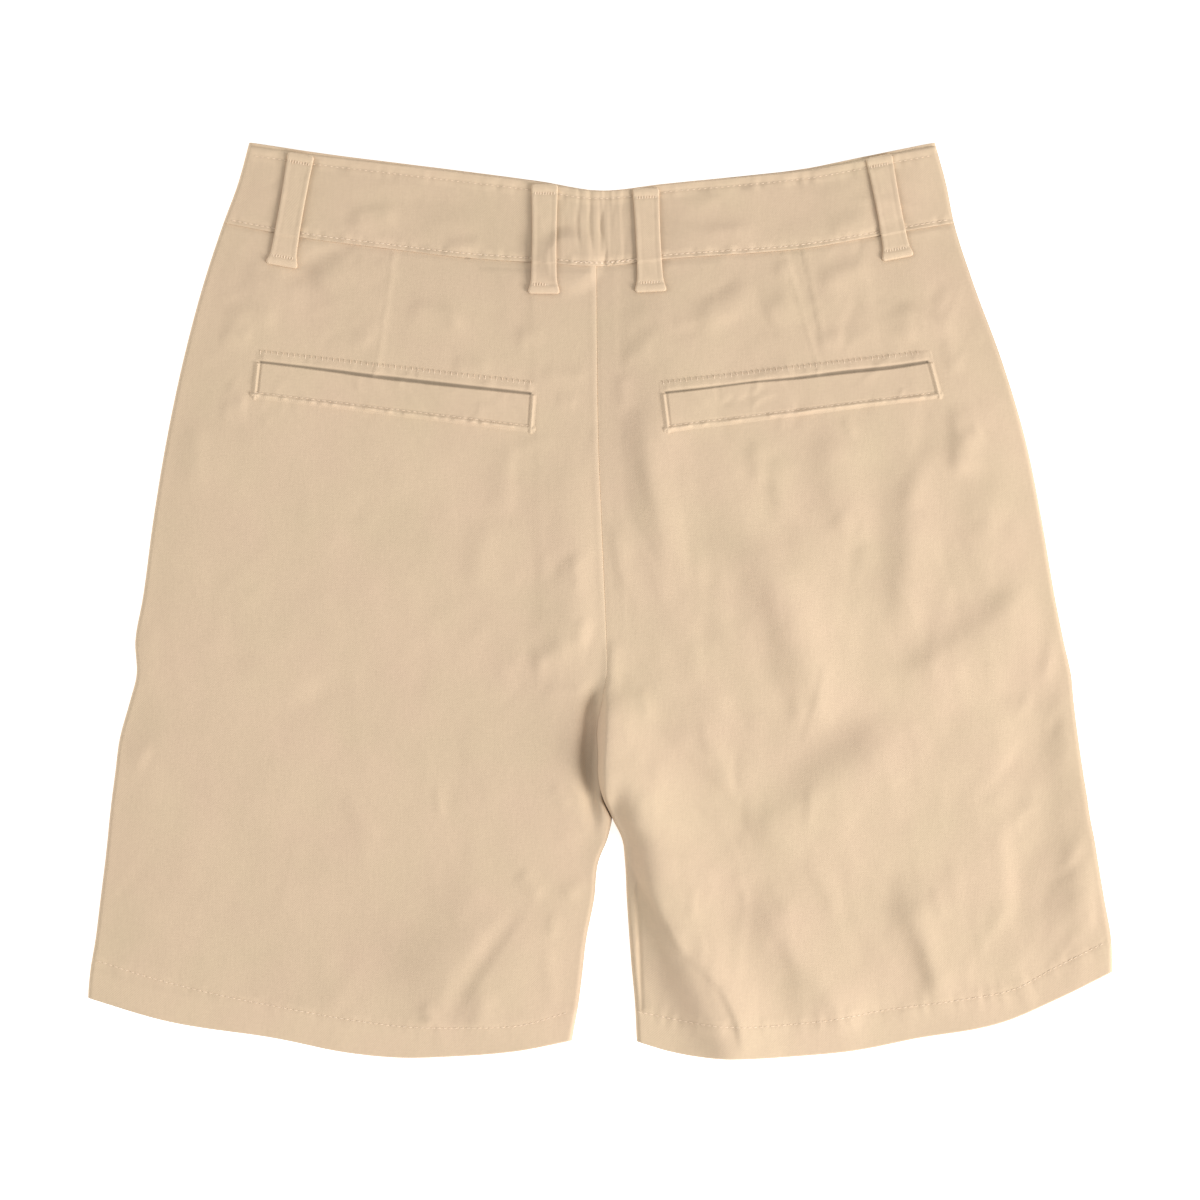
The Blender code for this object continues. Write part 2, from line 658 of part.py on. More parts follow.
def strap_grid(loop):
    """X and Y of a belt loop's grid, from its lower end up."""
    run = np.hypot(loop.top_x - loop.end_x, loop.top_y - loop.end_y)
    half_x = (loop.top_y - loop.end_y) / run * LOOP_WIDTH / 2
    half_y = (loop.end_x - loop.top_x) / run * LOOP_WIDTH / 2
    return strip_points(
        (loop.end_x - half_x, loop.end_y - half_y),
        (loop.end_x + half_x, loop.end_y + half_y),
        (loop.top_x - half_x, loop.top_y - half_y),
        (loop.top_x + half_x, loop.top_y + half_y),
        LOOP_ROWS, LOOP_COLUMNS)


def make_belt_loops(collection):
    """Four arched loops on the back, and two pressed flat on the hidden front."""
    arch = LOOP_ARCH * np.sin(np.linspace(0, np.pi, LOOP_ROWS))[:, None] ** 0.8
    for loop in BACK_LOOPS:
        x, y = strap_grid(loop)
        support = top_height(x, y).max(axis=1, keepdims=True)
        z = support + LOOP_GAP + LOOP_WALL + arch + 0 * x
        cloth_object(loop.name, np.dstack([x, y, z]), LOOP_WALL, collection)
    for loop in FRONT_LOOPS:
        x, y = strap_grid(loop)
        cloth_object(loop.name, np.dstack([x, y, 0 * x]), LOOP_WALL, collection, faces_down=True)


def make_pocket_welts(collection):
    """A welt on each back panel, over its pocket's mouth."""
    for welt in WELTS:
        x, y = strip_points((welt.low_x0, welt.low_y0), (welt.low_x1, welt.low_y1),
                            (welt.x0, welt.y0), (welt.x1, welt.y1),
                            WELT_ROWS, WELT_COLUMNS)
        z = back_height(x, y) + LAY_GAP + WELT_WALL
        cloth_object(welt.name, np.dstack([x, y, z]), WELT_WALL, collection)


def make_fly(collection):
    """The zip's tape beside the right front's extension, and the shield that backs them."""
    extension = FLY_EXTENSION + SEAM_GAP
    layer = CLOTH + LAY_GAP
    for name, inner, outer, base, height in (
        ("fly_zip", extension + ZIP_WIDTH, extension, FLY_BASE_Y + 10, layer),
        ("fly_shield", SHIELD_OUTER, -SHIELD_INNER, FLY_BASE_Y + 6, 2 * layer + LAP_SLACK),
    ):
        rows = np.linspace(base, FLY_TOP_Y - FLY_TOP_CLEAR, FLY_ROWS)[:, None]
        x = centre_front(rows) + np.linspace(-inner, -outer, FLY_COLUMNS)
        points = np.dstack([x, rows + 0 * x, height + front_height(x, rows)])
        cloth_object(name, points, FLY_WALL, collection, faces_down=True)


def make_button(collection, cutters):
    """A four-hole button on the front, between the lapped waistband and the table."""
    centre_x, centre_y = button_place()
    bpy.ops.mesh.primitive_cylinder_add(
        vertices=32, radius=BUTTON_RADIUS * MM, depth=BUTTON_DEPTH * MM,
        location=(centre_x * MM, centre_y * MM, BUTTON_DEPTH / 2 * MM))
    button = bpy.context.object
    button.name = "waist_button"
    button.data.materials.append(make_material("waist_button", HORN_COLOUR, HORN_ROUGHNESS))
    button.data.set_sharp_from_angle(angle=np.radians(40))
    move_to(button, collection)
    for side_x, side_y in ((-1, -1), (-1, 1), (1, -1), (1, 1)):
        bpy.ops.mesh.primitive_cylinder_add(
            vertices=10, radius=BUTTON_HOLE_RADIUS * MM, depth=3 * BUTTON_DEPTH * MM,
            location=((centre_x + side_x * BUTTON_HOLE_OFFSET) * MM,
                      (centre_y + side_y * BUTTON_HOLE_OFFSET) * MM, BUTTON_DEPTH / 2 * MM))
        cutter = bpy.context.object
        cutter.name = "button_hole_cutter"
        cutter.hide_render = True
        cutter.display_type = "WIRE"
        move_to(cutter, cutters)
        hole = button.modifiers.new("Hole", "BOOLEAN")
        hole.object = cutter


def move_to(piece, collection):
    """Take an object out of its collections and put it in one."""
    for holder in list(piece.users_collection):
        holder.objects.unlink(piece)
    collection.objects.link(piece)


def main():
    """Build every piece of the shorts."""
    for old in list(bpy.data.objects):
        bpy.data.objects.remove(old)
    garment = make_collection("bermuda_shorts")
    cutters = make_collection("cutters")
    make_front_panels(garment)
    make_back_panels(garment)
    make_waistband(garment)
    make_belt_loops(garment)
    make_pocket_welts(garment)
    make_fly(garment)
    make_button(garment, cutters)


if __name__ == "__main__":
    main()
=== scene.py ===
"""Looks of a pair of bermuda shorts in sand-beige cotton twill, laid flat with the back side up.

The waist points to +Y and the wearer's left leg lies at -X. Sizes are in millimetres until a
mesh is made. Each piece is a thin shell on the form of the solid that it stands for.
"""

import json
import logging
import math
from dataclasses import dataclass, field
from enum import Enum
from typing import Callable, Iterator, NamedTuple, Sequence

import bpy
import numpy as np
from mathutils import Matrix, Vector

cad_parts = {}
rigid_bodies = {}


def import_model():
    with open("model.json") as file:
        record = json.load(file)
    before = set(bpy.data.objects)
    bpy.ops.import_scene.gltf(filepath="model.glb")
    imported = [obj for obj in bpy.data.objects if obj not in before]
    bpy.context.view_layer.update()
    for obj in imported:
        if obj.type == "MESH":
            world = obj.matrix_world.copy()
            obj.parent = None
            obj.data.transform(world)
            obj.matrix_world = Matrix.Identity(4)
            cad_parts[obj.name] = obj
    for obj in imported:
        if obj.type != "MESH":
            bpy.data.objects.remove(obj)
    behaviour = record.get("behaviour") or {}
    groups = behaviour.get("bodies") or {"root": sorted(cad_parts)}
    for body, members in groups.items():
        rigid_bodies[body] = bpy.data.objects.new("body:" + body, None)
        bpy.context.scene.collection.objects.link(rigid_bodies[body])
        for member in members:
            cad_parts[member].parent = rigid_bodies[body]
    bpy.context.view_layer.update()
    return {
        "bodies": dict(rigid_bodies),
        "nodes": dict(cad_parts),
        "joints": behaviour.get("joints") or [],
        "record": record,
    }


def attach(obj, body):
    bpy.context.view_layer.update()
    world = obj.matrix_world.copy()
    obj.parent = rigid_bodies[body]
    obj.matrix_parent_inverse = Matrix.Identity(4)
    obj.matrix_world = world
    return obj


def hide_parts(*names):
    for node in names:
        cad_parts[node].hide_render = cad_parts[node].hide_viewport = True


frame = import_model()

Array = np.ndarray
Curve = Callable[[Array], Array]
Height = Callable[[Array, Array], Array]

log = logging.getLogger("bermuda_shorts")
MM = 0.001
BODY = "root"


class Leg(Enum):
    """One leg of the garment, with the sign of its side in X."""

    LEFT = -1
    RIGHT = 1


class Slot(Enum):
    """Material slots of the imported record."""

    TWILL = "twill"
    TAPE = "zip_tape"
    BUTTON = "button"


class Section(NamedTuple):
    """Where the outline runs at one height."""

    y: float
    left_side: float
    left_inner: float
    right_inner: float
    right_side: float


class WaistPoint(NamedTuple):
    """Waist seam and top edge, at a share of the way from the left to the right side."""

    across: float
    seam: float
    top: float


class Fold(NamedTuple):
    """A fold from start to end, which bows to its left and is a trough where height is negative."""

    x0: float
    y0: float
    x1: float
    y1: float
    bow: float
    left: float
    right: float
    height: float


class Gather(NamedTuple):
    """A valley of the gathered waistband."""

    x: float
    depth: float


class Strap(NamedTuple):
    """A belt loop between its upper and lower ends."""

    name: str
    top_x: float
    top_y: float
    end_x: float
    end_y: float

    def axis(self) -> tuple[float, float, float]:
        """The loop's length, then its direction in X and Y, up from its lower end."""
        run = math.hypot(self.top_x - self.end_x, self.top_y - self.end_y)
        return run, (self.top_x - self.end_x) / run, (self.top_y - self.end_y) / run


class Welt(NamedTuple):
    """A pocket welt's corners, along its upper and its lower edge, and how far its mouth gapes."""

    name: str
    x0: float
    y0: float
    x1: float
    y1: float
    low_x0: float
    low_y0: float
    low_x1: float
    low_y1: float
    gapes: tuple[float, ...]


SECTIONS = (
    Section(-229.5, -267.2, -14.5, 19.0, 268.0),
    Section(-208.0, -266.8, -10.7, 17.9, 267.6),
    Section(-193.4, -265.6, -8.9, 16.5, 267.0),
    Section(-177.0, -262.9, -7.0, 15.2, 266.4),
    Section(-156.0, -260.3, -2.9, 13.8, 262.8),
    Section(-135.0, -257.7, -0.3, 12.7, 259.3),
    Section(-124.8, -256.6, 3.9, 11.4, 257.7),
    Section(-114.4, -255.6, 6.5, 6.5, 255.6),
    Section(-103.0, -254.3, 0.5, 0.5, 253.9),
    Section(-90.0, -252.6, -4.5, -4.5, 251.8),
    Section(-73.0, -250.4, -5.5, -5.5, 249.3),
    Section(-52.0, -244.7, 1.0, 1.0, 246.7),
    Section(-40.0, -241.6, 3.4, 3.4, 245.6),
    Section(-21.0, -242.1, 3.4, 3.4, 241.5),
    Section(0.0, -238.4, 2.6, 2.6, 237.3),
    Section(42.0, -232.7, 0.8, 0.8, 230.1),
    Section(83.0, -225.9, -0.8, -0.8, 221.8),
    Section(125.0, -217.1, -1.4, -1.4, 209.3),
    Section(166.0, -206.2, -1.7, -1.7, 194.2),
    Section(196.0, -196.3, -1.8, -1.8, 184.6),
    Section(217.0, -188.6, -1.8, -1.8, 180.3),
    Section(238.2, -182.8, -1.8, -1.8, 174.5),
)

HEMS = {
    Leg.LEFT: (
        (-267.0, -207.0),
        (-228.5, -218.4),
        (-164.6, -228.8),
        (-134.9, -235.0),
        (-103.7, -238.2),
        (-77.7, -237.6),
        (-41.3, -234.5),
        (-14.5, -229.3),
    ),
    Leg.RIGHT: (
        (19.0, -229.8),
        (36.7, -235.0),
        (54.9, -237.9),
        (75.0, -238.2),
        (95.4, -237.6),
        (135.5, -234.0),
        (161.5, -228.8),
        (213.5, -218.4),
        (237.4, -208.0),
        (267.0, -193.4),
    ),
}

WAIST = (
    WaistPoint(0.000, 196.0, 238.2),
    WaistPoint(0.110, 188.2, 232.2),
    WaistPoint(0.225, 182.5, 227.0),
    WaistPoint(0.336, 177.6, 222.0),
    WaistPoint(0.423, 175.4, 217.8),
    WaistPoint(0.511, 173.2, 213.0),
    WaistPoint(0.603, 177.0, 216.4),
    WaistPoint(0.729, 180.4, 220.9),
    WaistPoint(0.790, 182.4, 223.3),
    WaistPoint(0.899, 189.4, 230.8),
    WaistPoint(1.000, 196.0, 238.2),
)

# The folds that the solids have too. Most are ridges with one steep flank.
MAIN_FOLDS = (
    # right leg, from the crotch out to the side seam
    Fold(2, -62, 92, -275, -11, 26, 12, 8.5),
    Fold(4, -36, 7, -128, -3, 22, 4, 6.5),
    Fold(-1, -36, 4, -128, -7, 6, 5, -4.5),
    Fold(18, 112, 38, 0, 1, 14, 8, 2.0),
    Fold(27, 190, 24, 0, 0, 22, 16, 1.3),
    Fold(28, -60, 84, -114, 0, 16, 6, 1.6),
    Fold(54, 86, 74, 4, 0, 13, 14, 1.5),
    Fold(72, -148, 142, -232, -4, 24, 14, 2.4),
    Fold(72, 40, 122, -72, 3, 28, 14, 3.0),
    Fold(66, -128, 168, -60, -6, 14, 26, 2.6),
    Fold(120, 92, 127, 28, 0, 16, 9, 1.6),
    Fold(150, -142, 184, -218, 2, 20, 8, 1.8),
    Fold(150, -46, 228, 6, -2, 10, 22, 2.2),
    Fold(164, 88, 158, -30, 0, 16, 10, 1.8),
    Fold(184, 104, 187, 60, 0, 12, 5, 1.5),
    Fold(228, -36, 226, -188, -4, 20, 14, -2.2),
    # left leg, from the crotch out to the side seam
    Fold(-15, 92, -17, -48, 0, 12, 12, 1.6),
    Fold(-30, -156, -74, -224, -2, 20, 6, 2.0),
    Fold(-40, -150, -92, -222, -5, 9, 20, 2.4),
    Fold(-170, 163, -126, 185, 0, 6, 6, -1.6),
    Fold(-250, -60, -160, -132, 0, 16, 7, 0.6),
)

# Finer creases of the back cloth
CREASES = (
    # right leg, beside the centre seam
    Fold(6, 44, 13, -2, 0, 6, 4, 1.1),
    Fold(8, -16, 5, -50, 0, 5, 4, 1.2),
    Fold(20, -44, 25, -62, 0, 3, 3, 0.6),
    Fold(10, 118, 14, 96, 0, 5, 4, 0.8),
    Fold(22, 104, 32, 26, 1, 9, 8, 0.7),
    Fold(8, 124, 28, 130, 0, 4, 5, 0.6),
    # right leg, middle
    Fold(52, -62, 60, -88, 0, 5, 4, 0.6),
    Fold(47, -146, 46, -168, 0, 3, 3, 0.5),
    Fold(109, -94, 110, -120, 0, 3, 2.5, 0.4),
    Fold(106, -132, 126, -172, 0, 6, 4, 0.8),
    Fold(170, -150, 178, -168, 0, 4, 3, 0.4),
    Fold(77, 34, 121, -70, 3, 12, 12, 1.7),
    Fold(98, -98, 150, -66, -3, 10, 12, 0.8),
    Fold(76, -150, 136, -226, -3, 12, 12, 1.7),
    Fold(152, -150, 182, -212, 2, 8, 7, 1.2),
    Fold(163, 60, 159, -24, 0, 9, 10, 0.5),
    Fold(70, 66, 88, 8, 0, 9, 9, 0.9),
    Fold(68, -140, 76, -160, 0, 3, 3, 0.5),
    Fold(80, 84, 84, 58, 0, 7, 5, 0.8),
    Fold(93, 76, 94, 38, 0, 7, 5, 0.9),
    Fold(120, 44, 134, 28, 0, 8, 5, 0.8),
    Fold(172, 82, 160, 46, 0, 6, 5, 0.9),
    Fold(198, 70, 206, 10, 0, 12, 10, 0.7),
    # right leg, along the side seam
    Fold(228, -44, 242, -4, 0, 4, 5, 1.0),
    Fold(247, -44, 250, -92, 0, 4, 13, 1.5),
    Fold(226, -84, 218, -136, 0, 8, 12, 1.0),
    Fold(255, -112, 253, -182, 0, 4, 18, 1.7),
    # right leg, round the welt pocket and the waist
    Fold(48, 142, 82, 164, 2, 6, 9, 1.3),
    Fold(84, 146, 100, 158, 0, 6, 8, 1.2),
    Fold(110, 160, 140, 178, 0, 6, 8, 1.4),
    Fold(92, 166, 99, 176, 0, 4, 4, 0.8),
    Fold(156, 130, 164, 154, 2, 8, 8, 1.5),
    Fold(160, 143, 188, 144, 0, 5, 6, 0.9),
    Fold(112, 135, 128, 138, 0, 4, 5, 0.8),
    Fold(180, 140, 186, 118, 0, 5, 4, 0.7),
    Fold(184, 80, 198, 89, 0, 4, 5, 0.9),
    Fold(188, 84, 186, 64, 0, 6, 6, 0.4),
    Fold(127, 93, 134, 83, 0, 2.5, 2.5, 0.5),
    # left leg, beside the centre seam and the crotch
    Fold(-14, 26, -13, 2, 0, 5, 3, 0.7),
    Fold(-10, -8, -11, -24, 0, 4, 4, 0.9),
    Fold(-36, -36, -14, -20, 0, 5, 6, 0.9),
    Fold(-30, -48, -6, -47, 0, 4, 4, 0.5),
    Fold(-26, -96, -16, -108, 0, 4, 4, 0.5),
    Fold(-43, -140, -28, -156, 0, 5, 4, 0.8),
    Fold(-20, -157, -5, -145, 0, 5, 4, 0.9),
    Fold(-24, -162, -24, -176, 0, 3, 3, 0.5),
    Fold(-28, -172, -24, -218, 0, 5, 4, 0.5),
    Fold(-58, -200, -62, -222, 0, 6, 5, 0.8),
    Fold(-62, -142, -80, -170, 0, 8, 14, 0.8),
    Fold(-92, -208, -88, -222, 0, 4, 4, 0.8),
    # left leg, middle and side seam
    Fold(-44, 88, -54, 42, 0, 8, 8, 0.9),
    Fold(-54, 46, -68, 0, 0, 8, 8, 0.7),
    Fold(-87, -98, -84, -114, 0, 3, 2.5, 0.4),
    Fold(-136, -100, -114, -124, 0, 4, 5, 0.4),
    Fold(-192, -35, -144, -47, 2, 6, 10, 0.8),
    Fold(-250, -73, -232, -82, 0, 5, 8, 1.0),
    Fold(-241, -8, -242, -52, 0, 8, 4, 1.6),
    Fold(-208, 96, -212, 56, 0, 6, 8, 0.8),
    # left leg, round the welt pocket and the waist
    Fold(-194, 114, -182, 104, 0, 4, 4, 0.6),
    Fold(-198, 101, -182, 103, 0, 4, 5, 0.8),
    Fold(-42, 81, -22, 82, 0, 3, 4, 0.6),
    Fold(-198, 146, -166, 148, 0, 6, 7, 1.1),
    Fold(-200, 136, -180, 138, 0, 4, 5, 0.8),
    Fold(-190, 164, -150, 163, 0, 7, 10, 1.1),
    Fold(-150, 164, -130, 180, 0, 8, 10, 1.2),
    Fold(-120, 140, -126, 128, 0, 4, 4, 0.5),
    Fold(-102, 146, -68, 143, 4, 5, 7, 1.0),
    Fold(-78, 123, -54, 123, 0, 4, 5, 0.7),
    Fold(-44, 137, -26, 138, 0, 4, 5, 0.8),
    Fold(-32, 120, -4, 117, 0, 5, 6, 1.0),
    Fold(-24, 105, -10, 101, 0, 4, 5, 0.8),
    # waistband
    Fold(116, 192, 142, 200, 0, 6, 6, 0.9),
    Fold(34, 189, 84, 192, 0, 5, 7, 0.7),
    Fold(-134, 195, -102, 201, 3, 5, 7, 1.2),
    Fold(-82, 184, -60, 184, 0, 3, 4, 0.6),
    Fold(-92, 194, -56, 196, 2, 5, 6, 0.5),
)


class Wrinkles(NamedTuple):
    """An area of small wrinkles that run much the same way, in degrees from +X."""

    x0: float
    y0: float
    x1: float
    y1: float
    count: int
    angle: float
    spread: float
    length: float
    width: float
    depth: float


WRINKLES = (
    Wrinkles(-205, 122, -115, 190, 16, 32, 22, 24, 2.6, 0.4),
    Wrinkles(-110, 118, -10, 176, 22, -18, 22, 26, 2.6, 0.36),
    Wrinkles(10, 115, 98, 178, 22, 28, 25, 26, 2.6, 0.47),
    Wrinkles(108, 120, 198, 188, 20, 40, 28, 24, 2.6, 0.47),
    Wrinkles(-190, 182, -34, 232, 26, -6, 16, 34, 2.8, 0.36),
    Wrinkles(32, 178, 180, 230, 26, 8, 20, 34, 2.8, 0.4),
    Wrinkles(-250, -215, -15, 95, 80, 75, 60, 46, 5.0, 0.29),
    Wrinkles(12, -210, 250, 95, 120, -62, 38, 46, 4.4, 0.5),
    Wrinkles(-50, -60, 0, 90, 20, 62, 30, 24, 3.0, 0.43),
    Wrinkles(10, -210, 80, -60, 26, -70, 25, 28, 2.8, 0.47),
    Wrinkles(205, -185, 258, -10, 18, 58, 20, 34, 3.4, 0.54),
    Wrinkles(-175, 92, -40, 120, 14, 70, 40, 12, 2.2, 0.4),
    Wrinkles(35, 92, 172, 120, 16, 60, 35, 14, 2.2, 0.5),
)


class Patch(NamedTuple):
    """A broad patch of painted light on the cloth, or of painted shade where tone is negative."""

    x: float
    y: float
    reach_x: float
    reach_y: float
    tone: float


# Painted light and shade over broad areas of the back cloth
PAINTED_LIGHT_PATCHES = (
    Patch(130, -60, 90, 150, 0.2),
    Patch(110, -20, 20, 40, 0.25),
    Patch(185, -50, 30, 30, 0.2),
    Patch(225, 60, 25, 70, 0.2),
    Patch(-4, 0, 8, 40, 0.35),
    Patch(125, -76, 24, 12, -0.3),
    Patch(30, -15, 16, 20, -0.25),
    Patch(238, -66, 10, 22, -0.3),
    Patch(240, -140, 14, 40, -0.3),
    Patch(24, 140, 22, 70, -0.35),
    Patch(0, 180, 220, 48, -0.3),
    Patch(-22, -68, 20, 24, -0.4),
    Patch(-92, -185, 24, 36, -0.2),
    Patch(-130, -190, 70, 30, -0.15),
)


class Shade(NamedTuple):
    """A stroke of painted shade along some points."""

    points: tuple[tuple[float, float], ...]
    width: float
    tone: float


# Painted shade under the waist seam, beside the centre seam, on the waistband and by the right welt's end;
# the short stroke at (-69, 178) is a small dark mark on the cloth
SHADES = (
    Shade(((-62, 172.5), (-30, 170.8), (-5, 170.3)), 1.2, -0.10),
    Shade(((36, 174.5), (62, 176.0)), 1.2, -0.06),
    Shade(((-69.4, 178), (-68.6, 178)), 0.7, -0.5),
    Shade(((12, 92), (14, 62), (20, 40), (30, 22)), 2.4, -0.07),
    Shade(((3, 40), (6, 20), (8, 5)), 1.6, -0.08),
    Shade(((-145, 224), (-118, 223)), 2.5, -0.06),
    Shade(((70, 217), (113, 216.5)), 2.5, -0.06),
    Shade(((172, 112), (180, 92), (186, 74)), 2.2, -0.05),
)


class Tuck(NamedTuple):
    """Cloth lapped over itself: beyond the line, on its right, the cloth drops, and its tone paints shade
    there.
    """

    points: tuple[tuple[float, float], ...]
    drop: float
    edge: float
    reach: float
    tone: float


TUCKS = (
    Tuck(((6, -112), (14, -133), (21, -146), (34, -168), (41, -180), (52, -190), (63, -203), (69, -215),
          (74, -236)), 1.3, 2.4, 22.0, -0.10),
    Tuck(((118, -28), (112, -52), (104, -78)), 0.5, 3.0, 9.0, -0.03),
)

GATHERS = (
    Gather(-16.5, 0.5),
    Gather(-11.2, 0.9),
    Gather(-4.9, 1.0),
    Gather(1.8, 1.2),
    Gather(7.0, 1.0),
    Gather(11.7, 0.9),
    Gather(16.5, 0.5),
)

BACK_STRAPS = (
    Strap("back_loop_outer_left", -155.2, 232.0, -165.6, 173.4),
    Strap("back_loop_inner_left", -28.7, 216.2, -29.2, 159.0),
    Strap("back_loop_inner_right", 23.8, 214.2, 26.4, 160.0),
    Strap("back_loop_outer_right", 144.8, 230.8, 155.0, 177.4),
)
FRONT_STRAPS = (
    Strap("front_loop_left", -108.0, 214.0, -111.0, 160.0),
    Strap("front_loop_right", 100.0, 210.0, 103.0, 156.0),
)

WELTS = (
    Welt("pocket_welt_left", -178.6, 124.4, -33.8, 107.6, -180.6, 105.8, -35.2, 88.0,
         (0.9, 1.0, 1.4, 1.7, 1.6, 1.3, 1.0)),
    Welt("pocket_welt_right", 32.0, 107.6, 172.4, 124.4, 34.4, 88.0, 177.2, 106.0,
         (0.8, 0.7, 0.5, 1.1, 1.5, 1.6, 1.2)),
)


def curve_through(keys: Sequence[float], values: Sequence[float]) -> Curve:
    """A cubic function of one variable through the given points.

    Args:
        keys: Rising places of the points.
        values: The function's value at each of them.

    Returns:
        The function, which stays level beyond its ends.
    """
    places = np.array(keys, float)
    heights = np.array(values, float)
    slopes = np.gradient(heights, places)

    def at(key: Array) -> Array:
        """Value of the curve at places along it.

        Args:
            key: The places.

        Returns:
            The values.
        """
        key = np.clip(key, places[0], places[-1])
        low = np.clip(np.searchsorted(places, key, side="right") - 1, 0, len(places) - 2)
        step = places[low + 1] - places[low]
        t = (key - places[low]) / step
        ease = t * t * (3 - 2 * t)
        rise = step * (t - 2 * t * t + t ** 3) * slopes[low]
        fall = step * (t ** 3 - t * t) * slopes[low + 1]
        return (1 - ease) * heights[low] + ease * heights[low + 1] + rise + fall

    return at


def table_curve(table: Sequence[NamedTuple], key: str, value: str) -> Curve:
    """The smooth function that a table's two named columns give."""
    return curve_through([getattr(row, key) for row in table], [getattr(row, value) for row in table])


def ease_step(value: Array, start: float, end: float) -> Array:
    """0 before start, 1 after end, and a smooth rise between them."""
    t = np.clip((value - start) / (end - start), 0, 1)
    return t * t * (3 - 2 * t)


def smooth_max(first: Array, second: Array, blend: float = 0.6) -> Array:
    """The larger of two heights, with a rounded change from one to the other."""
    return (first + second + np.sqrt((first - second) ** 2 + blend ** 2)) / 2


def bell(distance: Array, width: float) -> Array:
    """1 at no distance, falling away over a width."""
    return np.exp(-(distance / width) ** 2)


class SmoothNoise:
    """Smooth random heights between -1 and 1, the same on each run."""

    def __init__(self, seed: int, size: int = 128) -> None:
        """Draw a square of random values, which repeats.

        Args:
            seed: Picks the values.
            size: Values along each side.
        """
        self.values = np.random.default_rng(seed).uniform(-1, 1, (size, size))
        self.size = size

    def __call__(self, x: Array, y: Array) -> Array:
        """Noise at points given in steps of the square's values.

        Args:
            x: Places across.
            y: Places along.

        Returns:
            The noise.
        """
        column = np.floor(x).astype(int)
        row = np.floor(y).astype(int)
        u = x - column
        v = y - row
        u = u * u * u * (u * (6 * u - 15) + 10)
        v = v * v * v * (v * (6 * v - 15) + 10)
        columns = column % self.size, (column + 1) % self.size
        rows = row % self.size, (row + 1) % self.size
        low = (1 - u) * self.values[rows[0], columns[0]] + u * self.values[rows[0], columns[1]]
        high = (1 - u) * self.values[rows[1], columns[0]] + u * self.values[rows[1], columns[1]]
        return (1 - v) * low + v * high


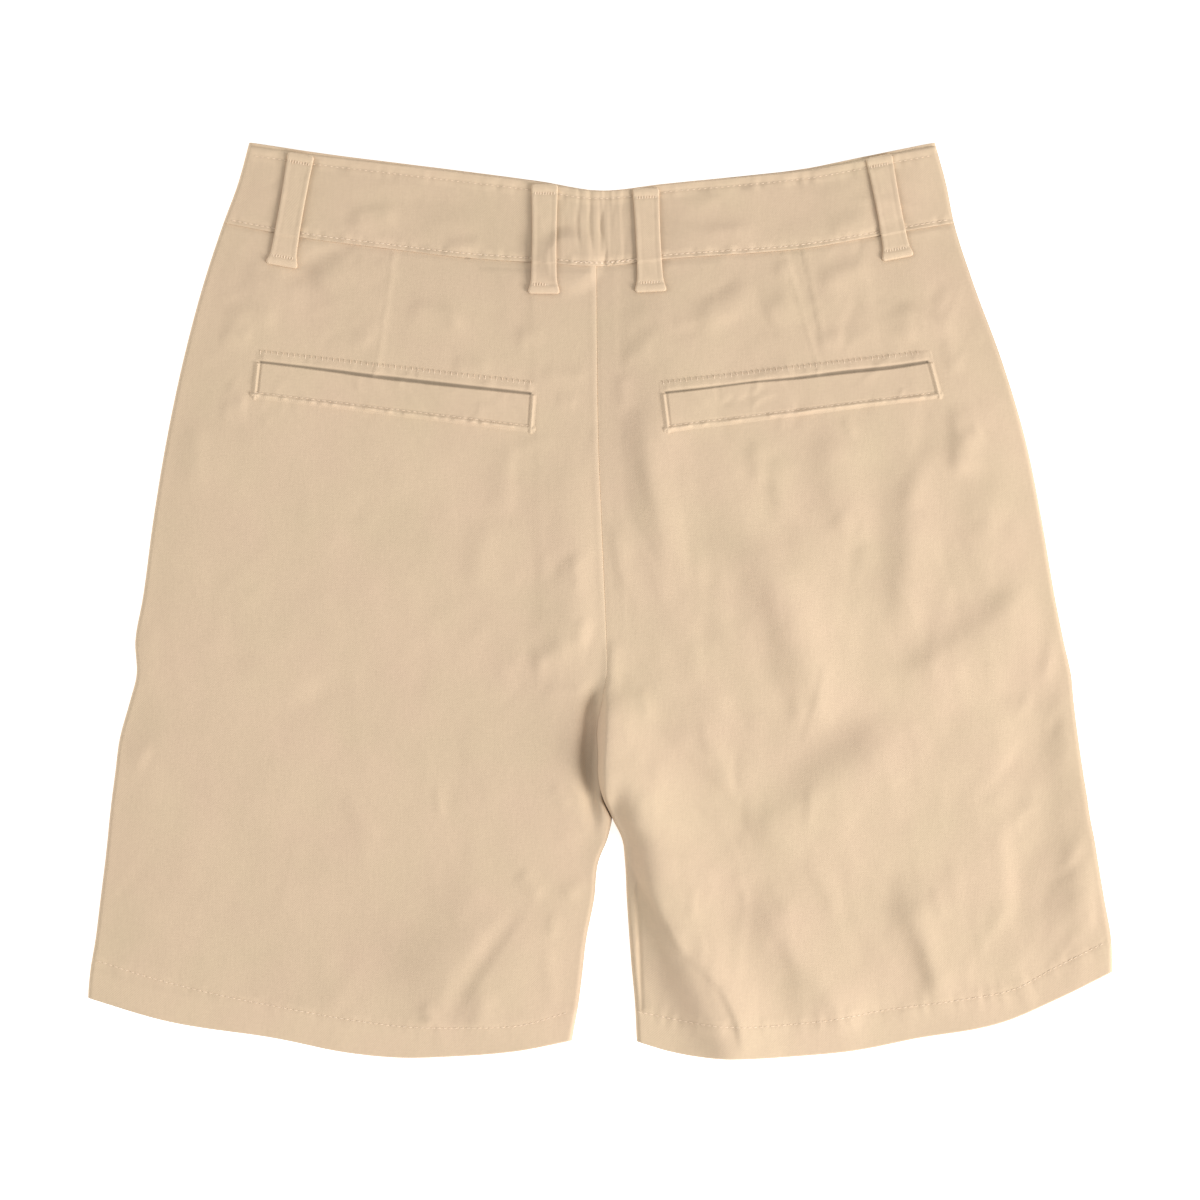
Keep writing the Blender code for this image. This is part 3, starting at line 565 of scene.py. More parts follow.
@dataclass
class GarmentForm:
    """Outline and heights of the laid-out garment, as its solids have them."""

    edge_height: float = 5.6
    turn_gap: float = 0.4
    crown: float = 0.6
    crown_reach: float = 14.0
    fold_reach: float = 9.0
    floor_height: float = 3.05
    closure_rise: float = 3.5
    hem_rise: float = 2.2
    hem_depth: float = 16.6
    band_proud: float = 0.5
    band_wall: float = 1.6
    cloth: float = 1.2
    lay_gap: float = 0.3
    seam_gap: float = 0.3
    roll: float = 2.65
    crotch_y: float = -114.4
    crotch_blend: float = 26.0
    hem_level: float = -229.5
    top_of_leg: float = 173.0
    fly_base_y: float = 4.0
    fly_top_y: float = 150.0
    fly_extension: float = 8.0
    front_drop: float = 18.0
    front_hem_lift: float = 1.0
    centre_front_x: float = -2.0
    lap_start: float = 4.0
    lap_end: float = 16.0
    lap_slack: float = 0.2
    band_lap: float = 32.0
    button_offset: float = 14.0
    button_radius: float = 8.5
    button_depth: float = 2.2
    strap_width: float = 14.0
    strap_wall: float = 1.3
    fold_fade: float = 0.3
    gather_width: float = 2.0

    def __post_init__(self) -> None:
        """Work out the outline's curves from the tables."""
        self.sides = {
            Leg.LEFT: table_curve(SECTIONS, "y", "left_side"),
            Leg.RIGHT: table_curve(SECTIONS, "y", "right_side"),
        }
        below = [row for row in SECTIONS if row.y <= self.crotch_y]
        above = [row for row in SECTIONS if row.y >= self.crotch_y]
        self.inseams = {
            Leg.LEFT: table_curve(below, "y", "left_inner"),
            Leg.RIGHT: table_curve(below, "y", "right_inner"),
        }
        self.centre_back = table_curve(above, "y", "left_inner")
        self.seam_line = table_curve(WAIST, "across", "seam")
        self.top_line = table_curve(WAIST, "across", "top")
        self.hems = {leg: curve_through(*zip(*points)) for leg, points in HEMS.items()}
        self.strap_lift = self.strap_wall + self.lay_gap + 0.2
        self.button_lift = self.button_depth + self.lay_gap

    def centre_front(self, y: Array) -> Array:
        """X of the straight centre-front line."""
        share = np.clip((y - self.crotch_y) / (self.fly_top_y - self.crotch_y), 0, 1)
        return self.inseams[Leg.LEFT](self.crotch_y) * (1 - share) + self.centre_front_x * share

    def waist_share(self, x: Array) -> Array:
        """How far across the waist seam X is, from 0 at the left side to 1 at the right.

        Args:
            x: Places across.

        Returns:
            The shares.
        """
        left = self.sides[Leg.LEFT](self.seam_line(0.0))
        right = self.sides[Leg.RIGHT](self.seam_line(1.0))
        return (x - left) / (right - left)

    def front_fall(self, across: Array) -> Array:
        """How far the front waist lies below the back waist."""
        return self.front_drop * (1 - (2 * across - 1) ** 2)

    def turned(self, y: Array) -> Array:
        """1 where the legs are apart and their inner edges turn round, 0 at the flat seam."""
        return 1 - ease_step(y, self.crotch_y, self.crotch_y + self.crotch_blend)

    def edge_fade(self, x: Array, y: Array, reach: float) -> Array:
        """0 at the garment's turned edges, rising to 1 over the distance reach.

        Args:
            x: Places across.
            y: Places along.
            reach: Distance over which it rises.

        Returns:
            The factors.
        """
        outer = np.minimum(x - self.sides[Leg.LEFT](y), self.sides[Leg.RIGHT](y) - x)
        inner = np.where(
            x < self.centre_back(y),
            self.inseams[Leg.LEFT](y) - x,
            x - self.inseams[Leg.RIGHT](y),
        )
        beside_side = bell(np.maximum(outer, 0), reach)
        beside_inner = bell(np.maximum(inner, 0), reach) * self.turned(y)
        return (1 - beside_side) * (1 - beside_inner)

    def fold_relief(self, fold: Fold, x: Array, y: Array) -> Array:
        """Height that one fold adds at a point.

        Args:
            fold: The fold.
            x: Places across.
            y: Places along.

        Returns:
            The heights, negative in a trough.
        """
        run = math.hypot(fold.x1 - fold.x0, fold.y1 - fold.y0)
        along_x = (fold.x1 - fold.x0) / run
        along_y = (fold.y1 - fold.y0) / run
        along = ((x - fold.x0) * along_x + (y - fold.y0) * along_y) / run
        aside = (y - fold.y0) * along_x - (x - fold.x0) * along_y
        aside = aside - fold.bow * 4 * along * (1 - along)
        width = np.where(aside > 0, fold.left, fold.right)
        ends = ease_step(along, 0, self.fold_fade) * ease_step(1 - along, 0, self.fold_fade)
        return fold.height * ends * bell(aside, width)

    def button_place(self) -> tuple[float, float]:
        """Centre of the waist button.

        Returns:
            Its X and Y.
        """
        x = float(self.centre_front(self.fly_top_y)) - self.button_offset
        across = self.waist_share(x)
        middle = (self.seam_line(across) + self.top_line(across)) / 2
        return x, float(middle - self.front_fall(across))

    def button_bump(self, x: Array, y: Array) -> Array:
        """1 over the waist button, fading to 0 around it.

        Args:
            x: Places across.
            y: Places along.

        Returns:
            The factors.
        """
        centre_x, centre_y = self.button_place()
        beyond = np.hypot(x - centre_x, y - centre_y) - self.button_radius
        return 1 - ease_step(beyond, 2, 11)

    def strap_bump(self, x: Array, y: Array) -> Array:
        """1 over the two front belt loops, fading to 0 around them.

        Args:
            x: Places across.
            y: Places along.

        Returns:
            The factors.
        """
        total = 0
        for strap in FRONT_STRAPS:
            beside = np.abs(x - (strap.top_x + strap.end_x) / 2) - self.strap_width / 2
            beyond = np.maximum(y - strap.top_y, strap.end_y - y)
            total = total + (1 - ease_step(beside, 6, 20)) * (1 - ease_step(beyond, 6, 20))
        return total

    def front_height(self, x: Array, y: Array) -> Array:
        """Height of the front's outer face above the table."""
        bump = self.button_lift * self.button_bump(x, y)
        return bump + self.strap_lift * self.strap_bump(x, y)

    def lap_share(self, x: Array, y: Array) -> Array:
        """1 where the right front passes under the left one, 0 where it lies on the table."""
        lap_x = 1 - ease_step(x - self.centre_front(y), self.lap_start, self.lap_end)
        return lap_x * ease_step(y, self.fly_base_y - 50, self.fly_base_y - 18)

    def closure_share(self, x: Array, y: Array) -> Array:
        """1 over the layers of the fly and the lapped waistband.

        Args:
            x: Places across.
            y: Places along.

        Returns:
            The factors.
        """
        aside = x - self.centre_front(y)
        over_x = ease_step(aside, -self.band_lap - 12, -self.band_lap)
        over_x = over_x * (1 - ease_step(aside, 9, 20))
        return over_x * ease_step(y, self.fly_base_y - 50, self.fly_base_y - 18)

    def hem_share(self, x: Array, y: Array) -> Array:
        """1 in the turned-up hem, fading to 0 above it.

        Args:
            x: Places across.
            y: Places along.

        Returns:
            The factors.
        """
        middle = self.inseams[Leg.LEFT](self.crotch_y)
        hem = np.where(x < middle, self.hems[Leg.LEFT](x), self.hems[Leg.RIGHT](x))
        return 1 - ease_step(y - hem, self.hem_depth, self.hem_depth + 8)

    def back_floor(self, x: Array, y: Array) -> Array:
        """The lowest that the back's outer face can lie over what is under it.

        Args:
            x: Places across.
            y: Places along.

        Returns:
            The heights.
        """
        under = self.floor_height + self.closure_rise * self.closure_share(x, y)
        under = under + self.button_lift * self.button_bump(x, y)
        under = under + self.strap_lift * self.strap_bump(x, y)
        return under + self.hem_rise * self.hem_share(x, y)

    def gather_relief(self, x: Array) -> Array:
        """Height of the gathered waistband, with a valley at each gather."""
        return -sum(g.depth * np.exp(-np.abs(x - g.x) / self.gather_width) for g in GATHERS)


class Path:
    """A smooth line over the table, through a few points."""

    def __init__(self, points: Sequence[tuple[float, float]]) -> None:
        """Run a curve through the points and sample it every half millimetre.

        Args:
            points: Points of the line.
        """
        corners = np.array(points, float)
        length = np.concatenate([[0], np.cumsum(np.hypot(*np.diff(corners, axis=0).T))])
        x_at = curve_through(length, corners[:, 0])
        y_at = curve_through(length, corners[:, 1])
        self.run = np.linspace(0, length[-1], max(3, int(length[-1] / 0.5)))
        self.x = x_at(self.run)
        self.y = y_at(self.run)
        slope_x = np.gradient(self.x)
        slope_y = np.gradient(self.y)
        norm = np.hypot(slope_x, slope_y)
        self.tangent_x = slope_x / norm
        self.tangent_y = slope_y / norm
        self.length = length[-1]

    def nearest(self, x: Array, y: Array, reach: float) -> tuple[Array, Array]:
        """Signed distance of points from the line, and how far along it they are.

        Args:
            x: X of the points.
            y: Y of the points.
            reach: Points further away than this are left out.

        Returns:
            Distance, positive on the line's left and large where left out, and the run along it.
        """
        distance = np.full(x.shape, 1e3)
        run = np.zeros(x.shape)
        near = (x > self.x.min() - reach) & (x < self.x.max() + reach)
        near &= (y > self.y.min() - reach) & (y < self.y.max() + reach)
        px = x[near]
        py = y[near]
        if not px.size:
            return distance, run
        gap = (px[:, None] - self.x[None, ::2]) ** 2 + (py[:, None] - self.y[None, ::2]) ** 2
        best = gap.argmin(axis=1) * 2
        dx = px - self.x[best]
        dy = py - self.y[best]
        along = dx * self.tangent_x[best] + dy * self.tangent_y[best]
        aside = dy * self.tangent_x[best] - dx * self.tangent_y[best]
        past = np.where((best == 0) & (along < 0) | (best >= len(self.x) - 2) & (along > 1), along, 0)
        distance[near] = np.where(aside < 0, -1, 1) * np.hypot(aside, past)
        run[near] = self.run[best] + along
        return distance, run

    def at(self, run: Array) -> tuple[Array, Array, Array, Array]:
        """X, Y and the two parts of the tangent at distances along the line.

        Args:
            run: Distances from the start.

        Returns:
            X, Y, and the tangent's X and Y.
        """
        return tuple(
            np.interp(run, self.run, values)
            for values in (self.x, self.y, self.tangent_x, self.tangent_y)
        )


@dataclass
class StitchRow:
    """A row of stitches, with the groove it presses and the puckers beside it."""

    name: str
    points: Sequence[tuple[float, float]]
    pitch: float = 3.0
    stitch: float = 2.2
    thread: float = 0.6
    groove: float = 0.2
    groove_width: float = 1.2
    pucker: float = 0.18
    pucker_step: float = 3.2
    pucker_reach: float = 4.5
    ridge: float = 0.0
    ridge_offset: float = 0.0
    ridge_width: float = 1.5
    crosswise: bool = False

    def __post_init__(self) -> None:
        """Lay the row's path and pick its puckers."""
        self.path = Path(self.points)
        self.noise = SmoothNoise(len(self.name) * 7 + int(abs(self.points[0][0])))

    def relief(self, x: Array, y: Array) -> Array:
        """Height that the row adds to the cloth at points.

        Args:
            x: Places across.
            y: Places along.

        Returns:
            The heights.
        """
        distance, run = self.path.nearest(x, y, self.pucker_reach * 2.5)
        waves = self.noise(run / self.pucker_step, distance / 14 + 40)
        total = -self.groove * bell(distance, self.groove_width)
        total = total + self.pucker * bell(distance, self.pucker_reach) * waves
        return total + self.ridge * bell(distance - self.ridge_offset, self.ridge_width)

    def tone(self, x: Array, y: Array) -> Array:
        """Painted highlight on the row's ridge and puckers, and painted shade in its groove, at points.

        Args:
            x: Places across.
            y: Places along.

        Returns:
            The tones.
        """
        distance, run = self.path.nearest(x, y, self.pucker_reach * 2.5)
        waves = self.noise(run / self.pucker_step, distance / 14 + 40)
        faded = bell(np.abs(distance) - 1.5, 1.2) * (0.35 + 0.6 * waves)
        return faded - 0.25 * bell(distance, 0.6)

    def stitches(self, shape: "StitchShape", surface: Height, lift: float = 0.08) -> Array:
        """Points of the row's stitches.

        Args:
            shape: The stitch that is repeated.
            surface: Height of the cloth that they lie on.
            lift: How far their middles stand off the cloth, below it where negative.

        Returns:
            Points by stitch and point of the shape.
        """
        count = max(1, int(self.path.length / self.pitch))
        centres = (np.arange(count) + 0.5) * self.path.length / count
        x, y, tangent_x, tangent_y = self.path.at(centres)
        jitter = 0.06 * self.noise(centres * 3.7, centres * 0 + 9)
        angle = 0.5 * math.pi * self.crosswise
        along_x = tangent_x * math.cos(angle) - (tangent_y + jitter) * math.sin(angle)
        along_y = tangent_x * math.sin(angle) + (tangent_y + jitter) * math.cos(angle)
        half = self.stitch / 2
        ahead = surface(x + along_x * half, y + along_y * half)
        behind = surface(x - along_x * half, y - along_y * half)
        slope = (ahead - behind) / self.stitch
        long = shape.points[None, :, 0] * half
        wide = shape.points[None, :, 1] * self.thread / 2
        high = shape.points[None, :, 2] * self.thread * 0.36
        return np.stack([
            x[:, None] + along_x[:, None] * long - along_y[:, None] * wide,
            y[:, None] + along_y[:, None] * long + along_x[:, None] * wide,
            (ahead + behind)[:, None] / 2 + slope[:, None] * long + high + lift,
        ], axis=2)


def deselect_all() -> None:
    """Leave object mode with nothing selected."""
    if bpy.context.object and bpy.context.object.mode != "OBJECT":
        bpy.ops.object.mode_set(mode="OBJECT")
    bpy.ops.object.select_all(action="DESELECT")


class StitchShape:
    """One plump stitch along X, modelled once and repeated along every row."""

    def __init__(self) -> None:
        """Fill out a small ball's rings and keep its points and faces."""
        deselect_all()
        bpy.ops.mesh.primitive_uv_sphere_add(segments=6, ring_count=4, rotation=(0, math.pi / 2, 0))
        ball = bpy.context.object
        bpy.ops.object.transform_apply(location=False, rotation=True, scale=False)
        bpy.ops.object.mode_set(mode="EDIT")
        bpy.ops.mesh.select_mode(type="VERT")
        bpy.ops.mesh.select_all(action="DESELECT")
        bpy.ops.object.mode_set(mode="OBJECT")
        for vert in ball.data.vertices:
            vert.select = 0.2 < abs(vert.co.x) < 0.95
        bpy.ops.object.mode_set(mode="EDIT")
        bpy.ops.transform.resize(value=(1.15, 1.2, 1.2))
        bpy.ops.object.mode_set(mode="OBJECT")
        self.points = np.array([vert.co[:] for vert in ball.data.vertices])
        self.faces = [np.array(face.vertices) for face in ball.data.polygons]
        bpy.data.objects.remove(ball)

    def repeated(self, name: str, groups: Sequence[Array]) -> bpy.types.Object:
        """One mesh of many stitches.

        Args:
            name: The piece's name.
            groups: Points of each row's stitches in millimetres, by stitch and point.

        Returns:
            The piece, shaded smooth.
        """
        points = np.concatenate(groups)
        starts = np.arange(len(points)) * len(self.points)
        faces = [(face + start).tolist() for start in starts for face in self.faces]
        mesh = bpy.data.meshes.new(name)
        mesh.from_pydata((points.reshape(-1, 3) * MM).tolist(), [], faces)
        mesh.shade_smooth()
        piece = bpy.data.objects.new(name, mesh)
        bpy.context.scene.collection.objects.link(piece)
        return piece


@dataclass
class Sheet:
    """A cloth's edges and the spread of its points, from its inner to its outer edge.

    inner and outer give X at a height Y, bottom and top give Y at a share of the way across,
    and turn says where the inner edge turns round.
    """

    inner: Curve
    outer: Curve
    bottom: Curve
    top: Curve
    rows: Array
    interior: Array
    turn: Curve
    roll: float
    stations: int = 8

    def points(self, height: Height, seam_height: float) -> Array:
        """Grid of points on the outer face, with X rising along each row.

        Args:
            height: Height of the outer face.
            seam_height: Height of a turned edge's rim.

        Returns:
            Points by row and column.
        """
        angle = np.linspace(0, math.pi / 2, self.stations)
        round_run = self.roll * (1 - np.cos(angle))
        flat_run = self.roll * angle / (math.pi / 2)
        rows = self.rows[:, None]
        inner_y = self.bottom(0.0) + rows * (self.top(0.0) - self.bottom(0.0))
        outer_y = self.bottom(1.0) + rows * (self.top(1.0) - self.bottom(1.0))
        inner_x = self.inner(inner_y)
        outer_x = self.outer(outer_y)
        width = np.abs(outer_x - inner_x)
        turn = self.turn(inner_y)
        inner_run = turn * round_run + (1 - turn) * flat_run
        middle = self.roll + (width - 2 * self.roll) * self.interior
        outer_run = width - round_run[::-1]
        share = np.hstack([inner_run, middle, outer_run]) / width
        x = inner_x + (outer_x - inner_x) * share
        y = (1 - rows) * self.bottom(share) + rows * self.top(share)
        z = height(x, y)
        count = self.stations
        rise = np.sin(angle)
        start = z[:, count - 1:count].copy()
        end = z[:, -count:-count + 1].copy()
        flat = z[:, :count]
        z[:, :count] = turn * (seam_height + (start - seam_height) * rise) + (1 - turn) * flat
        z[:, -count:] = seam_height + (end - seam_height) * rise[::-1]
        points = np.dstack([x, y, z])
        return points if x[0, -1] > x[0, 0] else points[:, ::-1]


def spaced(length: float, coarse: float, zones: Sequence[tuple[float, float, float]]) -> Array:
    """Places from 0 to length, closer together in some zones.

    Args:
        length: Where the last place is.
        coarse: Step outside the zones.
        zones: Start, end and step of each zone.

    Returns:
        The places.
    """
    places = [0.0]
    while places[-1] < length:
        here = places[-1]
        step = min([coarse] + [fine for start, end, fine in zones if start <= here < end])
        starts = [start for start, _, _ in zones if here < start < here + step]
        places.append(min([here + step] + starts))
    return np.array(places) * length / places[-1]


def cloth_piece(
    name: str,
    points: Array,
    wall: float,
    grain: Array,
    tone: Array | None = None,
    faces_down: bool = False,
    hem: tuple[int, float] = (0, 0.0),
) -> bpy.types.Object:
    """A closed thin shell whose outer face runs through a grid of points.

    Args:
        name: The piece's name.
        points: Points in millimetres, by row and column.
        wall: Thickness of the shell.
        grain: Places on the flat cloth in millimetres, by row and column, for its weave.
        tone: Painted light and shade at each point, and one small dark mark, lighter above 0 and darker
            below.
        faces_down: Whether the outer face is the lower one.
        hem: Number of rows in the turned-up hem, and its thickness.

    Returns:
        The piece, at the origin.
    """
    rows, columns = points.shape[:2]
    deselect_all()
    bpy.ops.mesh.primitive_grid_add(x_subdivisions=columns - 1, y_subdivisions=rows - 1, size=1.0)
    piece = bpy.context.object
    piece.name = name
    mesh = piece.data
    mesh.name = name
    mesh.vertices.foreach_set("co", (points * MM).astype(np.float32).ravel())
    corners = np.empty(len(mesh.loops), np.int32)
    mesh.loops.foreach_get("vertex_index", corners)
    flat = (grain.reshape(-1, 2) * MM)[corners]
    mesh.uv_layers.active.name = "grain"
    mesh.uv_layers.active.data.foreach_set("uv", flat.astype(np.float32).ravel())
    wear = mesh.attributes.new("wear", "FLOAT", "POINT")
    values = np.zeros(rows * columns) if tone is None else np.clip(tone, -1, 1)
    wear.data.foreach_set("value", values.astype(np.float32).ravel())
    if faces_down:
        mesh.flip_normals()
    mesh.shade_smooth()
    solid = piece.modifiers.new("Wall", "SOLIDIFY")
    solid.thickness = wall * MM
    solid.offset = -1.0
    solid.use_even_offset = True
    hem_rows, hem_wall = hem
    if hem_rows:
        group = piece.vertex_groups.new(name="hem")
        group.add(list(range(hem_rows * columns)), 1.0, "REPLACE")
        solid.vertex_group = group.name
        solid.thickness = hem_wall * MM
        solid.thickness_vertex_group = wall / hem_wall
    bpy.ops.object.modifier_apply(modifier=solid.name)
    piece.vertex_groups.clear()
    return piece


def cloth_grain(points: Array) -> Array:
    """Places of a grid's points on the cloth laid flat, measured along its rows and columns.

    Args:
        points: The grid of points.

    Returns:
        Two measures for each point.
    """
    across = np.linalg.norm(np.diff(points, axis=1), axis=2)
    up = np.linalg.norm(np.diff(points, axis=0), axis=2)
    u = np.pad(np.cumsum(across, axis=1), ((0, 0), (1, 0)))
    v = np.pad(np.cumsum(up, axis=0), ((1, 0), (0, 0)))
    middle_row = points.shape[0] // 2
    middle = points.shape[1] // 2
    u = u - u[:, middle:middle + 1] + points[:, middle:middle + 1, 0]
    v = v - v[middle_row:middle_row + 1] + points[middle_row:middle_row + 1, :, 1]
    return np.dstack([u, v])


def rounded_drop(distance: Array, radius: float) -> Array:
    """How far a rounded edge has dropped at a distance in from it."""
    inside = np.clip(1 - distance / radius, 0, 1)
    return radius * (1 - np.sqrt(1 - inside ** 2))


HEM_LINES = {
    Leg.LEFT: (
        (-262.0, -187.5), (-235.0, -196.0), (-200.0, -205.0), (-165.0, -212.0), (-135.0, -217.5),
        (-100.0, -222.0), (-70.0, -222.5), (-40.0, -221.0), (-17.0, -214.5),
    ),
    Leg.RIGHT: (
        (19.0, -214.0), (45.0, -219.0), (75.0, -221.5), (110.0, -219.5), (150.0, -213.0),
        (190.0, -207.5), (215.0, -202.5), (237.0, -191.0), (262.0, -178.5),
    ),
}

DARTS = (
    ((-109.0, 181.0), (-118.0, 120.0)),
    ((95.0, 178.0), (112.0, 120.0)),
    ((105.0, 180.0), (113.0, 142.0)),
)


@dataclass
class BackCloth:
    """Heights of the back's outer faces, with their folds, creases, crumple and sewn lines."""

    form: GarmentForm
    drift: float = 2.2
    drift_step: float = 31.0
    crumple: tuple[tuple[float, float], ...] = ((40.0, 0.26), (18.0, 0.18), (8.0, 0.09))
    ridge: float = 0.2
    seam_sink: float = 0.2
    mouth_y: float = -88.0
    mouth_rise: float = 2.2
    mouth_drop: float = 0.5
    waist_sink: float = 0.35
    hem_drop: float = 0.8
    # Strengths of painted light (pale) and painted shade (dark) in the tone
    hem_edge_pale: float = 0.3
    side_pale: float = 0.22
    side_dark: float = 0.4
    inner_dark: float = 0.5
    dart_pale: float = 0.4
    dart_dark: tuple[float, float, float] = (0.09, 0.07, 0.2)
    loop_dark: float = 0.13
    seam_pale: float = 0.2
    seam_dark: float = 0.03
    mouth_dark: float = 0.34

    def __post_init__(self) -> None:
        """Lay the sewn lines and draw the noise."""
        self.noise = [SmoothNoise(seed) for seed in range(11, 20)]
        self.small = self.scattered()
        self.hems = {
            leg: StitchRow(f"hem_{leg.name.lower()}", line, thread=0.45, groove=0.14,
                           pucker=0.2 + 0.1 * leg.value, pucker_reach=6.0)
            for leg, line in HEM_LINES.items()
        }
        self.darts = [
            StitchRow(f"dart_{number}", line, groove=0.14, groove_width=0.9, pucker=0.12,
                      ridge=0.22, ridge_offset=2.0, ridge_width=2.0)
            for number, line in enumerate(DARTS)
        ]
        self.shades = [(Path(shade.points), shade) for shade in SHADES]
        self.tucks = [(Path(tuck.points), tuck) for tuck in TUCKS]
        self.inseam_line = StitchRow(
            "inseam", ((19.0, -150.0), (20.5, -180.0), (21.5, -213.0)), groove=0.6,
            ridge=0.35, ridge_offset=-2.0)

    def scattered(self) -> list[Fold]:
        """The small wrinkles, drawn at random in their areas.

        Returns:
            The wrinkles, as folds.
        """
        pick = np.random.default_rng(5)
        folds = []
        for area in WRINKLES:
            for _ in range(area.count):
                x, y = pick.uniform(area.x0, area.x1), pick.uniform(area.y0, area.y1)
                turn = math.radians(area.angle + pick.uniform(-area.spread, area.spread))
                half = area.length * pick.uniform(0.5, 1.4) / 2
                width = area.width * pick.uniform(0.7, 1.5, 2)
                height = area.depth * pick.uniform(0.2, 0.75) * pick.choice([-1, 1, 1])
                dx, dy = half * math.cos(turn), half * math.sin(turn)
                folds.append(Fold(x - dx, y - dy, x + dx, y + dy, pick.uniform(-4, 4), *width, height))
        return folds

    def seam_x(self, y: Array) -> Array:
        """X of the centre-back seam."""
        return self.form.centre_back(y) + 4.8 * bell(y + 80, 18)

    def crumple_relief(self, x: Array, y: Array) -> Array:
        """Small uneven waves of worn cloth.

        Args:
            x: Places across.
            y: Places along.

        Returns:
            The heights.
        """
        right = ease_step(x, -10, 60)
        low = 1 - ease_step(y, -60, 60)
        amount = 0.7 + 0.35 * right + 0.35 * low * right
        total = 0
        for number, (step, height) in enumerate(self.crumple):
            total = total + height * self.noise[2 + number](x / step + 3, y / step * 0.85 + 7)
        streak = self.noise[5](x / 9 + y / 60, y / 34 - x / 50)
        total = total + 0.16 * np.maximum(streak, 0) ** 2
        return amount * total

    def tuck_shares(self, x: Array, y: Array) -> Iterator[tuple[Tuck, Array]]:
        """Each tuck, with 1 beside its line on the low side and less further from it.

        Args:
            x: Places across.
            y: Places along.

        Returns:
            Pairs of a tuck and its shares.
        """
        for path, tuck in self.tucks:
            distance, run = path.nearest(x, y, 2.5 * tuck.reach)
            low = ease_step(-distance, -0.4 * tuck.edge, tuck.edge)
            low = low * bell(np.minimum(distance, 0), tuck.reach)
            ends = ease_step(run, 0, 14) * ease_step(path.length - run, 0, 14)
            yield tuck, np.where(distance < 999, low * ends, 0)

    def sewn_relief(self, x: Array, y: Array) -> Array:
        """What stitched lines add."""
        return sum(row.relief(x, y) for row in [*self.hems.values(), *self.darts, self.inseam_line])

    def height(self, x: Array, y: Array) -> Array:
        """Height of the cloth above the table.

        Args:
            x: Places across.
            y: Places along.

        Returns:
            The heights.
        """
        form = self.form
        step = self.drift_step
        warp_x = x + self.drift * self.noise[0](x / step, y / step)
        warp_y = y + self.drift * self.noise[1](x / step, y / step)
        rest = form.edge_height + form.crown * form.edge_fade(x, y, form.crown_reach)
        relief = sum(form.fold_relief(fold, warp_x, warp_y) for fold in MAIN_FOLDS + CREASES)
        small = self.wrinkle_relief(warp_x, warp_y) + self.crumple_relief(x, y)
        small = small - sum(tuck.drop * share for tuck, share in self.tuck_shares(x, y))
        relief = (relief + small) * form.edge_fade(x, y, form.fold_reach)
        return smooth_max(rest + relief, form.back_floor(x, y)) + self.sewn_relief(x, y)

    def tone(self, x: Array, y: Array) -> Array:
        """Painted light and shade: broad patches, tucks, dark strokes, edges, darts, and shade beside the
        belt loops.

        Args:
            x: Places across.
            y: Places along.

        Returns:
            The tones.
        """
        form = self.form
        # painted light and shade in broad patches, with painted shade beside the tucks and along the strokes
        spots = sum(p.tone * bell(np.hypot((x - p.x) / p.reach_x, (y - p.y) / p.reach_y), 1) for p in PAINTED_LIGHT_PATCHES)
        total = np.where(spots > 0, spots, 0.2 * spots)
        total = total + sum(tuck.tone * share for tuck, share in self.tuck_shares(x, y))
        for path, shade in self.shades:
            total = total + shade.tone * bell(path.nearest(x, y, 3 * shade.width)[0], shade.width)
        # painted light along the left side edge and painted shade along the right one
        left, right = x - form.sides[Leg.LEFT](y), form.sides[Leg.RIGHT](y) - x
        total = total + self.side_pale * bell(left, 4.0) - self.side_dark * bell(right, 1.1)
        # painted shade along the left leg's turned inner edge
        inner = form.inseams[Leg.LEFT](y) - x
        edge = bell(np.maximum(inner, 0), 1.0) * form.turned(y) * (x < form.centre_back(y))
        total = total - self.inner_dark * edge
        # painted highlight beside the first two darts
        for row in self.darts[:2]:
            distance, run = row.path.nearest(x, y, 9)
            mottle = 0.7 + 0.6 * row.noise(run / 1.6, distance / 2)
            total = total + self.dart_pale * bell(distance - 2.2, 1.9) * mottle
        # painted shade along the dart lines
        for row, depth in zip(self.darts, self.dart_dark):
            distance, run = row.path.nearest(x, y, 4)
            total = total - depth * bell(distance + 0.4, 0.6) * (0.7 + 0.6 * row.noise(run / 1.2, 0 * run))
        # painted shadow round each back belt loop
        for strap in BACK_STRAPS:
            run, up_x, up_y = strap.axis()
            along = (x - strap.end_x) * up_x + (y - strap.end_y) * up_y
            aside = np.abs((x - strap.end_x) * up_y - (y - strap.end_y) * up_x)
            half = self.form.strap_width / 2 + 1.3 * bell(along, 4.5)
            outside = np.hypot(np.maximum(aside - half, 0), np.maximum(np.maximum(-along, along - run), 0))
            total = total - self.loop_dark * bell(outside, 1.2)
        return total

    def panel_tone(self, leg: Leg, x: Array, y: Array) -> Array:
        """Painted light and shade beside the centre-back seam: a painted highlight along it above, a painted
        shade strip on the right panel, and painted shadow in the mouth.

        Args:
            leg: The leg.
            x: Places across.
            y: Places along.

        Returns:
            The tones.
        """
        beside = (x - self.seam_x(y)) * leg.value
        if leg is Leg.RIGHT:
            return -self.seam_dark * bell(beside - 7, 6) * ease_step(y, -10, 30)
        pale = self.seam_pale * bell(beside - 1.6, 1.3) * (1 - self.form.turned(y))
        reach = 14.5 * bell(y + 82, 31)
        mouth = bell(y - self.mouth_y, 24) * (1 - ease_step(beside, reach - 9, reach + 3))
        return pale * ease_step(y, -40, 20) - self.mouth_dark * mouth

